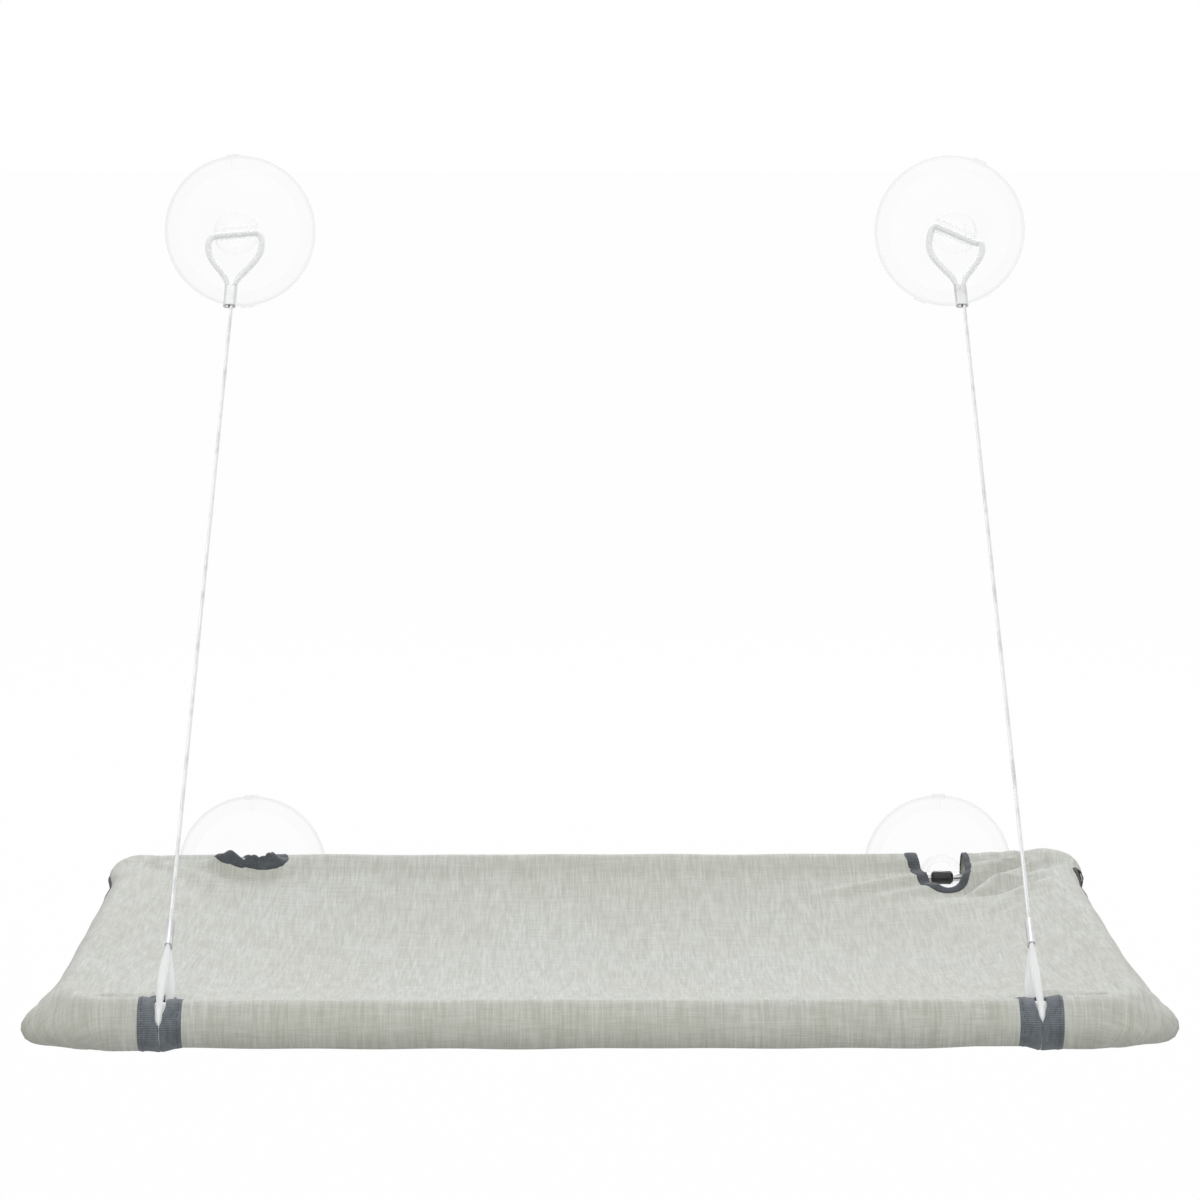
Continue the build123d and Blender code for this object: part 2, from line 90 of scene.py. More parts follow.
# %% One call for every node
def add_node(tree, kind, settings=None, sockets=None):
    """Adds a node: its settings are set first, then the values or links of its sockets."""
    node = tree.nodes.new(kind)
    for setting, value in (settings or {}).items():
        setattr(node, setting, value)
    for place, value in (sockets or {}).items():
        source = value.socket if isinstance(value, Value) else value
        if isinstance(source, bpy.types.NodeSocket):
            tree.links.new(source, node.inputs[place])
        else:
            node.inputs[place].default_value = source
    return node


# %% Values with operators
class Value:
    """A number or colour in a shader tree; operators on it add the nodes that work it out."""

    def __init__(self, tree, socket):
        self.tree = tree
        self.socket = socket

    def _math(self, operation, *others):
        sockets = dict(enumerate((self, *others)))
        node = add_node(self.tree, "ShaderNodeMath", {"operation": operation}, sockets)
        return Value(self.tree, node.outputs[0])

    def __add__(self, other):
        return self._math("ADD", other)

    __radd__ = __add__

    def __mul__(self, other):
        return self._math("MULTIPLY", other)

    __rmul__ = __mul__

    def __sub__(self, other):
        return self._math("SUBTRACT", other)

    def __rsub__(self, other):
        return self * -1.0 + other

    def __pow__(self, other):
        return self._math("POWER", other)

    def __abs__(self):
        return self._math("ABSOLUTE")

    def sine(self):
        return self._math("SINE")

    def top(self, other):
        return self._math("MAXIMUM", other)

    def low(self, other):
        return self._math("MINIMUM", other)

    def ramp(self, low, high, out_low=0.0, out_high=1.0):
        """A smooth step from one level to another."""
        sockets = {"Value": self, "From Min": low, "From Max": high,
                   "To Min": out_low, "To Max": out_high}
        node = add_node(self.tree, "ShaderNodeMapRange", {"interpolation_type": "SMOOTHSTEP"}, sockets)
        return Value(self.tree, node.outputs["Result"])


# %% [markdown]
# A finish starts as a Principled shader with a base colour and a roughness. What varies over the
# surface is then fed to a few sockets only: colour, roughness, alpha and the bump. Noise is read
# in metres on the object, or on the piece's own flat map, so a pattern keeps its real size.

# %% A finish and what varies over it
def linear(red, green, blue):
    """A colour written as it looks, 0 to 255, as the linear numbers that shaders use."""
    parts = []
    for value in (red, green, blue):
        share = value / 255
        parts.append(share / 12.92 if share <= 0.04045 else ((share + 0.055) / 1.055) ** 2.4)
    return (*parts, 1.0)


def lighter(tone, factor, more=0.0):
    """A linear colour made brighter or darker."""
    return tuple(min(1.0, part * factor + more) for part in tone[:3]) + (1.0,)


class Finish:
    """A material with a Principled shader and short calls for what varies over it."""

    def __init__(self, name, colour, roughness, **numbers):
        self.material = bpy.data.materials.new(name)
        self.material.use_nodes = True
        self.tree = self.material.node_tree
        self.shader = self.tree.nodes["Principled BSDF"]
        self.shader.inputs["Base Color"].default_value = colour
        self.shader.inputs["Roughness"].default_value = roughness
        for title, value in numbers.items():
            self.shader.inputs[title.replace("_", " ")].default_value = value

    def place(self, kind, scale=(1, 1, 1)):
        """Where a point is: "Object" is its place in metres, "UV" its place on the flat map."""
        where = add_node(self.tree, "ShaderNodeTexCoord")
        sockets = {"Vector": where.outputs[kind], "Scale": scale}
        return add_node(self.tree, "ShaderNodeMapping", None, sockets).outputs["Vector"]

    def axes(self, kind):
        """The three coordinates of a point as values."""
        parts = add_node(self.tree, "ShaderNodeSeparateXYZ", None, {0: self.place(kind)})
        return [Value(self.tree, out) for out in parts.outputs]

    def noise(self, kind, scale, detail=2.0):
        """Noise with so many waves to the metre along each axis, or along all three."""
        scale = scale if isinstance(scale, tuple) else (scale, scale, scale)
        sockets = {"Vector": self.place(kind, scale), "Scale": 1.0, "Detail": detail, "Roughness": 0.5}
        node = add_node(self.tree, "ShaderNodeTexNoise", None, sockets)
        return Value(self.tree, node.outputs["Fac"])

    def mix(self, share, first, second):
        """A blend of two colours."""
        node = add_node(self.tree, "ShaderNodeMix", {"data_type": "RGBA"},
                        {0: share, 6: first, 7: second})
        return Value(self.tree, node.outputs[2])

    def feed(self, **values):
        """Links values to sockets of the shader by their titles."""
        for title, value in values.items():
            self.tree.links.new(value.socket, self.shader.inputs[title.replace("_", " ")])

    def bump(self, height, distance, strength):
        """Small relief of a given depth in metres."""
        node = add_node(self.tree, "ShaderNodeBump", None,
                        {"Height": height, "Distance": distance, "Strength": strength})
        self.tree.links.new(node.outputs["Normal"], self.shader.inputs["Normal"])


# %% [markdown]
# ## The cover's cloth
# The cover is a plain weave that looks like linen: uneven yarns in two close tones, thicker slubs
# along them, and faint streaks. A photographed cloth would bring its own light and would not fit
# the cut, so the weave is worked out instead. Stretched noise gives the long and the cross yarns:
# many waves across a yarn and few along it. Two sine waves give the fine crossing relief. All of
# it reads the flat map of the cut cloth, so the yarns bend round the rolls as real ones do.

# %% Linen
YARN_PITCH = 0.00075


def linen(name):
    """A plain weave of uneven yarns in two tones, with slubs along its length."""
    made = Finish(name, linear(203, 205, 198), 0.92, Sheen_Weight=0.12, Sheen_Roughness=0.5,
                  Specular_IOR_Level=0.2)
    across, along, _ = made.axes("UV")
    long_yarn = made.noise("UV", (1500, 55, 1))
    cross_yarn = made.noise("UV", (110, 1700, 1))
    slub = made.noise("UV", (620, 50, 1), 1.0)
    cross_slub = made.noise("UV", (40, 380, 1), 1.0)
    streak = made.noise("UV", (190, 30, 1))
    cloud = made.noise("UV", (9, 9, 1), 3.0)
    fleck = made.noise("UV", (900, 160, 1))
    half_turn = math.pi / YARN_PITCH
    warp = abs((across * half_turn + (along * half_turn).sine() * 0.4).sine())
    weft = abs((along * half_turn).sine())
    tone = long_yarn * 0.3 + cross_yarn * 0.24 + slub * 0.2 + cross_slub * 0.12 + streak * 0.18
    pale = made.mix(cloud.ramp(0.35, 0.7), linear(211, 213, 208), linear(209, 210, 201))
    base = made.mix(tone.ramp(0.39, 0.67), linear(184, 185, 174), pale)
    made.feed(Base_Color=made.mix(fleck.ramp(0.62, 0.8, 0.0, 0.4), base, linear(162, 164, 148)),
              Roughness=cloud.ramp(0.3, 0.8, 0.86, 0.97))
    made.bump(warp * 0.4 + weft * 0.4 + slub * 0.6 + long_yarn * 0.5, 0.0002, 0.45)
    return made.material


LINEN = linen("linen_cloth")
print("finish", LINEN.name, "with", len(LINEN.node_tree.nodes), "nodes")

# %% [markdown]
# ## Tapes, threads and the hook and loop strips
# Dark woven tape is folded over each cut edge so that it can't fray. It has a fine rib across it
# and worn, paler places, so its tone isn't one flat grey. The threads and the hook and loop
# strips are fields of tiny tufts, and one noise at the size of a tuft is enough for them.

# %% Tape cloth and tufts
RIB_PITCH = 0.0009


def tape_cloth(name, tone):
    """A dark folded tape with a fine rib across it."""
    made = Finish(name, tone, 0.85, Sheen_Weight=0.25, Sheen_Roughness=0.4, Specular_IOR_Level=0.25)
    _, along, _ = made.axes("UV")
    rib = abs((along * (math.pi / RIB_PITCH)).sine())
    lint = made.noise("UV", (700, 200, 1), 3.0)
    worn = made.noise("UV", (150, 90, 1), 3.0)
    wear = (lint * 0.6 + worn * 0.6 + rib * 0.2).ramp(0.52, 1.02)
    made.feed(Base_Color=made.mix(wear, tone, lighter(tone, 1.9)),
              Roughness=lint.ramp(0.3, 0.7, 0.75, 0.95))
    made.bump(rib + lint * 0.6, 0.0002, 0.8)
    return made.material


def tufted(name, tone, tufts):
    """Thread, or hook and loop tape: a field of tiny tufts, so many to the metre."""
    made = Finish(name, tone, 0.8, Sheen_Weight=0.2, Specular_IOR_Level=0.3)
    tuft = made.noise("Object", tufts, 1.0)
    made.feed(Base_Color=made.mix(tuft.ramp(0.42, 0.68), tone, lighter(tone, 1.6)),
              Roughness=tuft.ramp(0.3, 0.7, 0.6, 0.95))
    made.bump(tuft, 0.0005, 1.0)
    return made.material


BINDING = tape_cloth("binding_tape", linear(95, 101, 106))
CUTOUT_TAPE = tape_cloth("cutout_tape", linear(68, 72, 76))
# The corner openings' tape is darkened to near black as painted shade, for the shadow inside each mouth
OPENING_SHADE_TAPE = tape_cloth("opening_tape", linear(42, 44, 47))
THREAD = tufted("seam_thread", linear(176, 177, 168), 2600)
DARK_THREAD = tufted("dark_thread", linear(84, 89, 95), 2600)
HOOKS = tufted("hook_tape", linear(52, 53, 56), 1600)
LOOPS = tufted("loop_tape", linear(60, 61, 64), 900)
for made in (BINDING, CUTOUT_TAPE, OPENING_SHADE_TAPE, THREAD, DARK_THREAD, HOOKS, LOOPS):
    print("finish", made.name)

# %% [markdown]
# ## Clear cups and sleeves
# A suction cup is clear soft plastic, nearly invisible where it is seen flat and denser where the
# eye looks along its wall. Real refraction would be slow and noisy in such thin walls. The shader
# therefore stays an opaque one whose alpha rises with the angle of view, and the cups get a
# denser ring near the rim, where the plastic turns over. The ring is found from the distance to
# the nearer cup's middle.

# %% Clear plastic
def rim_ring(made, rim):
    """Extra alpha on each cup: a ring at its rim and a fainter one inside it."""
    x, _, z = made.axes("Object")
    high = z.ramp(0.1, 0.2)
    off = abs(x) - (high * ((CUP_X_UPPER - CUP_X_LOWER) * MM) + CUP_X_LOWER * MM)
    level = z - high * (CUP_Z * MM)
    radius = (off * off + level * level) ** 0.5
    return radius.ramp(0.0365, 0.0385, 0.0, rim), radius.ramp(0.0305, 0.032, 0.0, rim * 0.2)


def clear_plastic(name, tint, flat_alpha, edge_alpha, roughness, rim=0.0, painted_glow=0.0):
    """Clear soft plastic, denser at its edges; painted_glow is white emission, a painted glow that
    brightens it though it is no lamp.
    """
    made = Finish(name, tint, roughness, Specular_IOR_Level=0.6, IOR=1.5)
    facing = add_node(made.tree, "ShaderNodeLayerWeight", None, {"Blend": 0.5})
    edge = Value(made.tree, facing.outputs["Facing"])
    haze = made.noise("Object", 60, 3.0)
    cover = (edge ** 2.2) * (edge_alpha - flat_alpha) + flat_alpha + haze * 0.015
    if rim:
        for ring in rim_ring(made, rim):
            cover = cover + ring
    # Painted glow: white emission brightens the plastic by itself, though it is no lamp
    made.shader.inputs["Emission Color"].default_value = (1, 1, 1, 1)
    made.shader.inputs["Emission Strength"].default_value = painted_glow
    made.feed(Alpha=cover.low(1.0), Roughness=haze.ramp(0.3, 0.7, roughness, roughness + 0.08))
    made.bump(haze, 0.0004, 0.25)
    return made.material


CUP = clear_plastic("clear_soft_cup", linear(226, 229, 230), 0.01, 0.4, 0.08, rim=0.12)
# The sleeves get a painted glow of white emission
SLEEVE = clear_plastic("clear_sleeve", linear(247, 249, 249), 0.55, 0.85, 0.16, painted_glow=0.1)
print("finishes", CUP.name, SLEEVE.name)

# %% [markdown]
# ## Metal and hard plastic
# The ropes, ferrules, rod and screws are bare metal. Fine marks run the way that each was drawn
# or pressed, so the noise is stretched along that direction, and a few patches are duller. The
# rope isn't fully metallic here, because its thin wires send light every way and look pale. The
# bushes, spacers and corners are moulded, with a spark grain and faint scuffs. The tubes are
# powder coated, with a faint orange peel and small rubs.

# %% Metal
def metal(name, tone, roughness, marks, depth=0.00006, share=1.0):
    """Bare metal with fine marks and dull patches; share is its metallic level."""
    made = Finish(name, tone, roughness, Metallic=share)
    fine = made.noise("Object", marks, 3.0)
    patch = made.noise("Object", 90)
    made.feed(Base_Color=made.mix(patch.ramp(0.45, 0.75), tone, lighter(tone, 0.8)),
              Roughness=(fine * 0.5 + patch * 0.5).ramp(0.3, 0.7, roughness - 0.06, roughness + 0.12))
    made.bump(fine, depth, 0.6)
    return made.material


ROPE = metal("steel_rope", linear(240, 241, 242), 0.36, 900, 0.00004, 0.55)
FERRULE = metal("ferrule_metal", linear(218, 219, 219), 0.36, (300, 900, 300))
ROD = metal("rod_steel", linear(196, 197, 198), 0.28, (40, 1400, 1400))
SCREW = metal("screw_steel", linear(188, 189, 190), 0.3, 800)
print("finishes", ROPE.name, FERRULE.name, ROD.name, SCREW.name)


# %% Moulded plastic and coated tube
def moulded(name, tone, roughness):
    """Moulded plastic with a fine spark grain and faint scuffs."""
    made = Finish(name, tone, roughness, Specular_IOR_Level=0.45)
    spark = made.noise("Object", 900)
    scuff = made.noise("Object", (70, 240, 70), 4.0)
    made.feed(Base_Color=made.mix(scuff.ramp(0.55, 0.75), tone, lighter(tone, 1.18, 0.006)),
              Roughness=scuff.ramp(0.35, 0.7, roughness - 0.05, roughness + 0.12))
    made.bump(spark, 0.00008, 0.5)
    return made.material


def coated(name, tone, roughness):
    """Powder coated tube: a faint orange peel and small rubs."""
    made = Finish(name, tone, roughness, Coat_Weight=0.15, Coat_Roughness=0.3)
    peel = made.noise("Object", 420)
    rub = made.noise("Object", 40, 5.0)
    made.feed(Base_Color=made.mix(rub.ramp(0.6, 0.8), tone, linear(190, 190, 186)),
              Roughness=rub.ramp(0.4, 0.8, roughness, roughness + 0.15))
    made.bump(peel, 0.00012, 0.5)
    return made.material


BLACK = moulded("black_plastic", linear(30, 30, 28), 0.5)
WHITE = moulded("white_plastic", linear(232, 229, 218), 0.5)
PAINTED = coated("painted_tube", linear(226, 226, 222), 0.42)
print("finishes", BLACK.name, WHITE.name, PAINTED.name)

# %% [markdown]
# ## Camera
# The camera was fitted to points measured on the photo: it stands 2.2 m off, a little to the left,
# and looks 7.2 degrees down. Its focal length is known in pixels of a picture 1200 pixels wide, so
# the lens follows from the width of the sensor.

# %% Camera
SENSOR = 36.0
FOCAL_PIXELS = 4268
PICTURE_PIXELS = 1200
LOOK_DOWN = 7.2325
LOOK_RIGHT = 0.452

camera_data = bpy.data.cameras.new("camera")
camera_data.sensor_width = SENSOR
camera_data.lens = SENSOR * FOCAL_PIXELS / PICTURE_PIXELS
camera_data.clip_end = 60.0
camera = bpy.data.objects.new("camera", camera_data)
camera.location = (-0.0150, -2.2210, 0.4248)
camera.rotation_euler = (math.radians(90 - LOOK_DOWN), 0, math.radians(-LOOK_RIGHT))
bpy.context.collection.objects.link(camera)
bpy.context.scene.camera = camera
bpy.context.scene.view_settings.view_transform = "Standard"
print(f"camera with a lens of {camera_data.lens:.0f} mm")

# %% [markdown]
# ## Lamps
# The photo has soft, even light, brightest from behind and above. One big lamp above would leave
# the panel flat and plain. So three large square lamps share the work: a strong one behind, which
# strikes the panel at a flat angle and shows its folds, and two weak ones above and in front that
# open the shadows.

# %% Lamps
def area_lamp(name, place, target, size, power, colour):
    """A soft square lamp aimed at a point."""
    data = bpy.data.lights.new(name, "AREA")
    data.color = colour
    data.shape = "SQUARE"
    data.size = size
    data.energy = power
    lamp = bpy.data.objects.new(name, data)
    lamp.location = place
    lamp.rotation_euler = (Vector(target) - Vector(place)).to_track_quat("-Z", "Y").to_euler()
    bpy.context.collection.objects.link(lamp)
    print(f"{name}: {power:.0f} W, {size} m wide")


PERCH = (0, -0.2, 0)
area_lamp("lamp_behind", (0.2, 3.5, 2.2), PERCH, 2.4, 124.0, (0.9, 0.905, 1.0))
area_lamp("lamp_above", (-0.3, -1.3, 2.2), PERCH, 1.6, 14.0, (1.0, 1.0, 0.99))
area_lamp("lamp_front", (0.5, -2.7, 0.45), PERCH, 1.6, 12.0, (1.0, 1.0, 0.95))

# %% [markdown]
# ## White surroundings
# The background is plain white. A white world at full strength would also light the cloth from
# every side and wash its folds out. So the world is white only for rays that the camera sees,
# directly or through something clear, and dimmer for the light that falls on the perch. The floor
# does the same: it glows white to the camera, stays grey for the light that bounces off it, and is
# clear from below, so that the underside can be looked at.

# %% World
DIM_SKY = 0.55
FLOOR_GLOW = 0.985


def seen_white(tree):
    """1 for rays that come from the camera, from a gloss or through something clear."""
    rays = add_node(tree, "ShaderNodeLightPath")
    camera_ray, gloss_ray, clear_ray = (
        Value(tree, rays.outputs[f"Is {kind} Ray"]) for kind in ("Camera", "Glossy", "Transmission"))
    return camera_ray.top(gloss_ray).top(clear_ray)


world = bpy.data.worlds.new("studio")
world.use_nodes = True
bpy.context.scene.world = world
sky = world.node_tree.nodes["Background"]
sky.inputs["Color"].default_value = (1, 1, 1, 1)
strength = seen_white(world.node_tree) * (1 - DIM_SKY) + DIM_SKY
world.node_tree.links.new(strength.socket, sky.inputs["Strength"])
print("world lights the perch at", DIM_SKY, "and looks white")

# %% Floor
FLOOR_HALF = 30
FLOOR_Z = -0.42

floor_mesh = bpy.data.meshes.new("studio_floor")
corners = [(x * FLOOR_HALF, y * FLOOR_HALF, FLOOR_Z) for x, y in ((-1, -1), (1, -1), (1, 1), (-1, 1))]
floor_mesh.from_pydata(corners, [], [(0, 1, 2, 3)])
floor = bpy.data.objects.new("studio_floor", floor_mesh)
bpy.context.collection.objects.link(floor)
floor_finish = Finish("studio_floor", (0.5, 0.5, 0.49, 1), 0.9, Specular_IOR_Level=0.1)
tree = floor_finish.tree
above = add_node(tree, "ShaderNodeMixShader", None, {
    0: seen_white(tree) * FLOOR_GLOW,
    1: floor_finish.shader.outputs[0],
    2: add_node(tree, "ShaderNodeEmission").outputs[0],
})
both = add_node(tree, "ShaderNodeMixShader", None, {
    0: add_node(tree, "ShaderNodeNewGeometry").outputs["Backfacing"],
    1: above.outputs[0],
    2: add_node(tree, "ShaderNodeBsdfTransparent").outputs[0],
})
tree.links.new(both.outputs[0], tree.nodes["Material Output"].inputs[0])
floor_mesh.materials.append(floor_finish.material)
print("floor", -FLOOR_Z, "m below the rod")

# %% [markdown]
# ## Small tools for shapes
# The cloth and the ropes follow formulas, so their meshes are made from arrays of points. Two soft
# step functions shape everything that starts or fades somewhere. A piece's object stays at the
# origin and its place is in its mesh, as with the CAD model's own nodes.

# %% Soft steps and humps
def smooth(low, high, value):
    """0 below low, 1 above high and a smooth rise between them; low may be above high."""
    t = np.clip((value - low) / (high - low), 0, 1)
    return t * t * (3 - 2 * t)


def bell(value, middle, width):
    """A soft hump of height 1 and a given half width."""
    return np.exp(-((value - middle) / width) ** 2)


# %% A mesh from points
def mesh_object(name, points, faces, uv=None):
    """A mesh from points in millimetres, smooth shaded, with an optional flat map in metres."""
    mesh = bpy.data.meshes.new(name)
    mesh.from_pydata([tuple(p) for p in np.asarray(points) * MM], [], [tuple(f) for f in faces])
    mesh.validate()
    if uv is not None:
        layer = mesh.uv_layers.new(name="flat")
        corners = np.empty(len(mesh.loops), dtype=np.int32)
        mesh.loops.foreach_get("vertex_index", corners)
        layer.data.foreach_set("uv", (np.asarray(uv)[corners] * MM).astype(np.float32).ravel())
    mesh.polygons.foreach_set("use_smooth", [True] * len(mesh.polygons))
    made = bpy.data.objects.new(name, mesh)
    bpy.context.collection.objects.link(made)
    return made


def grid_faces(rows, columns, wrap=False):
    """Quads over a grid of points, row by row; wrap joins the last column to the first."""
    faces = []
    last = columns if wrap else columns - 1
    for r in range(rows - 1):
        for c in range(last):
            d = (c + 1) % columns
            near, far = r * columns, (r + 1) * columns
            faces.append((near + c, near + d, far + d, far + c))
    return faces


def dress(made, material):
    """Gives a piece one finish and prints its size."""
    made.data.materials.clear()
    made.data.materials.append(material)
    spots = np.empty(3 * len(made.data.vertices), dtype=np.float32)
    made.data.vertices.foreach_get("co", spots)
    span = np.ptp(spots.reshape(-1, 3), axis=0) / MM
    print(f"{made.name}: {len(made.data.polygons)} faces, "
          f"{span[0]:.1f} x {span[1]:.1f} x {span[2]:.1f} mm, {material.name}")


# %% Modifiers turned into mesh data
def bake(made):
    """Turns an object's modifiers into plain mesh data."""
    graph = bpy.context.evaluated_depsgraph_get()
    mesh = bpy.data.meshes.new_from_object(made.evaluated_get(graph), depsgraph=graph)
    old = made.data
    made.modifiers.clear()
    made.data = mesh
    bpy.data.meshes.remove(old)
    mesh.name = made.name
    mesh.polygons.foreach_set("use_smooth", [True] * len(mesh.polygons))
    return made


def thicken(made, depth, offset=-1.0):
    """Gives a surface the thickness of its cloth."""
    solid = made.modifiers.new("thickness", "SOLIDIFY")
    solid.thickness = depth * MM
    solid.offset = offset
    solid.use_even_offset = False
    return bake(made)


# %% [markdown]
# ## The route of a rope
# Each rope starts in the upper ferrule, goes up and through the cup's head, comes back into the
# same ferrule, runs taut to the front bar, goes round it and ends in the lower ferrule. It could
# be drawn as a free curve, but then the loops would miss the head and the bar. So the route is
# written as pairs: how far across the rope and how far along it from the anchor. The photo shows
# both upper loops a little turned in their heads, the right one by 23 degrees. At the bar the two
# legs of a loop lean apart sideways, as they pass through the slit in the cloth.

# %% Rope sizes
ROPE_RADIUS = 0.9
SLEEVE_RADIUS = 1.65
SLEEVE_BORE = 1.05
LEG = 1.15
UPPER_THROAT = 37.0
LOWER_THROAT = 41.0
TAIL = 13.8
FERRULE_LENGTH = 13.0
HEAD_TURNS = {-1: -5.0, 1: 23.0}
BAR_LEANS = {-1: (-0.8, 2.4), 1: (-0.6, -2.8)}
# The upper loop's leg: across and along from the cup's head
EYE = ((-LEG, 34.0), (-7.2, 25.0), (-12.8, 16.0), (-14.0, 7.0))
# The lower loop's leg: off the bar, along the rope, and the share of its sideways lean
ROUND_BAR = ((LEG, -37.0, 0.0), (5.6, -22.0, 1.0), (10.8, -4.5, 0.4), (10.8, 4.5, 0.2),
             (4.5, 10.8, 0.1))
print("rope", 2 * ROPE_RADIUS, "mm thick in sleeves of", 2 * SLEEVE_RADIUS, "mm")


# %% The route of one rope
def rope_frame(side):
    """A rope's two anchors, its direction and the two directions across it."""
    upper = Vector((side * CUP_X_UPPER, ROD_Y, CUP_Z))
    lower = Vector((side * ROPE_X, FRONT_Y, 0))
    along = (lower - upper).normalized()
    level = Vector((1, 0, 0))
    across = (level - along * level.dot(along)).normalized()
    return upper, lower, along, across, along.cross(across).normalized()


def upper_loop(side):
    """The loop's points: up one leg, through the head's cross hole and down the other leg."""
    upper, _, along, across, _ = rope_frame(side)
    turn = math.radians(HEAD_TURNS[side])
    hole = Vector((math.cos(turn), 0, -math.sin(turn)))
    seat = upper + along * 1.1
    loop = [upper + across * u + along * s for u, s in EYE]
    loop += [seat + hole * step for step in (-12.3, -8.0, 8.0, 12.3)]
    return loop + [upper - across * u + along * s for u, s in reversed(EYE)]


def lower_loop(side):
    """The loop's points: over the front bar, round it and back under it."""
    _, lower, along, _, up = rope_frame(side)
    level = Vector((1, 0, 0))
    front, rear = BAR_LEANS[side]
    loop = [lower + up * u + along * s + level * front * share for u, s, share in ROUND_BAR]
    return loop + [lower - up * u + along * s + level * rear * share
                   for u, s, share in reversed(ROUND_BAR)]


def rope_route(side):
    """The points that one rope follows, from its tail in the upper ferrule to that in the lower."""
    upper, lower, along, across, up = rope_frame(side)
    top, bottom = upper_loop(side), lower_loop(side)
    start = upper + along * (UPPER_THROAT + TAIL) - across * LEG
    end = lower - along * (LOWER_THROAT + TAIL) - up * LEG
    run = (bottom[0] - top[-1]).normalized()
    # Two points beyond the ferrules keep the rope straight where it leaves them
    spare = [top[-1] + run * 21.0, bottom[0] - run * 30.0]
    return [start] + top + spare + bottom + [end]


# %% [markdown]
# A smooth curve through few points is what a NURBS spline is for: it rounds each corner of the
# route and never overshoots. Blender works the curve out once, and its points are then spread at
# even steps, because strands and sleeves need rings at even distances. Two directions are carried
# along the line without twist, so that a ring never turns by itself.

# %% A smooth line at even steps
def spline_points(name, route):
    """Points along the smooth line that a route of control points gives, in millimetres."""
    curve = bpy.data.curves.new(name, "CURVE")
    curve.dimensions = "3D"
    spline = curve.splines.new("NURBS")
    spline.points.add(len(route) - 1)
    for point, place in zip(spline.points, route):
        point.co = (*(place * MM), 1)
    spline.order_u = 3
    spline.use_endpoint_u = True
    spline.resolution_u = 24
    holder = bpy.data.objects.new(name, curve)
    bpy.context.collection.objects.link(holder)
    graph = bpy.context.evaluated_depsgraph_get()
    mesh = bpy.data.meshes.new_from_object(holder.evaluated_get(graph), depsgraph=graph)
    points = np.array([tuple(v.co) for v in mesh.vertices]) / MM
    bpy.data.objects.remove(holder)
    bpy.data.curves.remove(curve)
    bpy.data.meshes.remove(mesh)
    return points


def evenly(points, step):
    """The same line with points at even steps."""
    gaps = np.linalg.norm(np.diff(points, axis=0), axis=1)
    keep = np.concatenate([[True], gaps > 1e-6])
    points = points[keep]
    way = np.concatenate([[0], np.cumsum(np.linalg.norm(np.diff(points, axis=0), axis=1))])
    count = max(3, int(round(way[-1] / step)) + 1)
    at = np.linspace(0, way[-1], count)
    return np.stack([np.interp(at, way, points[:, k]) for k in range(3)], axis=1)


def carried_frames(line):
    """Two directions across a line at each of its points, carried along it without twist."""
    tangents = np.gradient(line, axis=0)
    tangents /= np.linalg.norm(tangents, axis=1)[:, None]
    seed = np.array([1.0, 0, 0]) if abs(tangents[0][0]) < 0.8 else np.array([0, 0, 1.0])
    first = np.cross(tangents[0], seed)
    first /= np.linalg.norm(first)
    ones = [first]
    for t in tangents[1:]:
        one = ones[-1] - t * np.dot(ones[-1], t)
        ones.append(one / np.linalg.norm(one))
    ones = np.array(ones)
    return ones, np.cross(tangents, ones)


# %% [markdown]
# ## The steel rope
# A steel rope is six strands laid round a core, and the lay shows as slanting lines even on a thin
# rope. A bump on a plain tube would keep a smooth outline, so the strands are real: each is a thin
# tube whose middle line winds round the rope once every 13 mm. Six sides to a strand are enough at
# this size.

# %% Strands round a core
STRAND = 0.31
CORE = 0.36
LAY = 13.0
STRAND_SIDES = 6
ROPE_STEP = 0.75


def tube_rings(line, ones, twos, radius, sides):
    """Points of round rings along a line."""
    angles = np.linspace(0, 2 * math.pi, sides, endpoint=False)
    ring = (np.cos(angles)[None, :, None] * ones[:, None, :]
            + np.sin(angles)[None, :, None] * twos[:, None, :])
    radius = np.broadcast_to(np.asarray(radius, float), (len(line),))
    return (line[:, None, :] + ring * radius[:, None, None]).reshape(-1, 3)


def capped_tube(line, radius, sides, base):
    """Points and faces of a round bar with closed ends; its first point has the number base."""
    ones, twos = carried_frames(line)
    points = tube_rings(line, ones, twos, radius, sides)
    faces = [tuple(base + i for i in f) for f in grid_faces(len(line), sides, wrap=True)]
    last = base + (len(line) - 1) * sides
    faces.append(tuple(base + i for i in range(sides))[::-1])
    faces.append(tuple(last + i for i in range(sides)))
    return points, faces


def stranded_rope(name, line):
    """A rope of six strands laid round a core along a line."""
    line = evenly(line, ROPE_STEP)
    ones, twos = carried_frames(line)
    way = np.arange(len(line)) * np.linalg.norm(line[1] - line[0])
    bars = []
    for k in range(6):
        angle = 2 * math.pi * (way / LAY + k / 6)
        out = np.cos(angle)[:, None] * ones + np.sin(angle)[:, None] * twos
        bars.append((line + (ROPE_RADIUS - STRAND) * out, STRAND))
    bars.append((line, CORE))
    points, faces = [], []
    for centre, radius in bars:
        more, quads = capped_tube(centre, radius, STRAND_SIDES, sum(map(len, points)))
        points.append(more)
        faces += quads
    return mesh_object(name, np.concatenate(points), faces)


# %% [markdown]
# ## The clear sleeves
# Each loop runs in a clear sleeve that keeps the steel off the plastic head and off the bar. The
# sleeve is a tube with a wall, an outer skin, an inner one and closed ends, so that its clear
# edge is seen twice. It narrows to its ends, where the ferrule squeezes both legs. The lower one
# swells a little between the ferrule and the bar, and is pressed flat where it bears on the bar.

# %% Hollow sleeves
SLEEVE_SIDES = 16
SLEEVE_STEP = 0.7
NARROW_OUTSIDE = 1.12
NARROW_INSIDE = 0.98
SWELL_HEIGHT, SWELL_PLACE, SWELL_WIDTH = 0.5, 19, 9


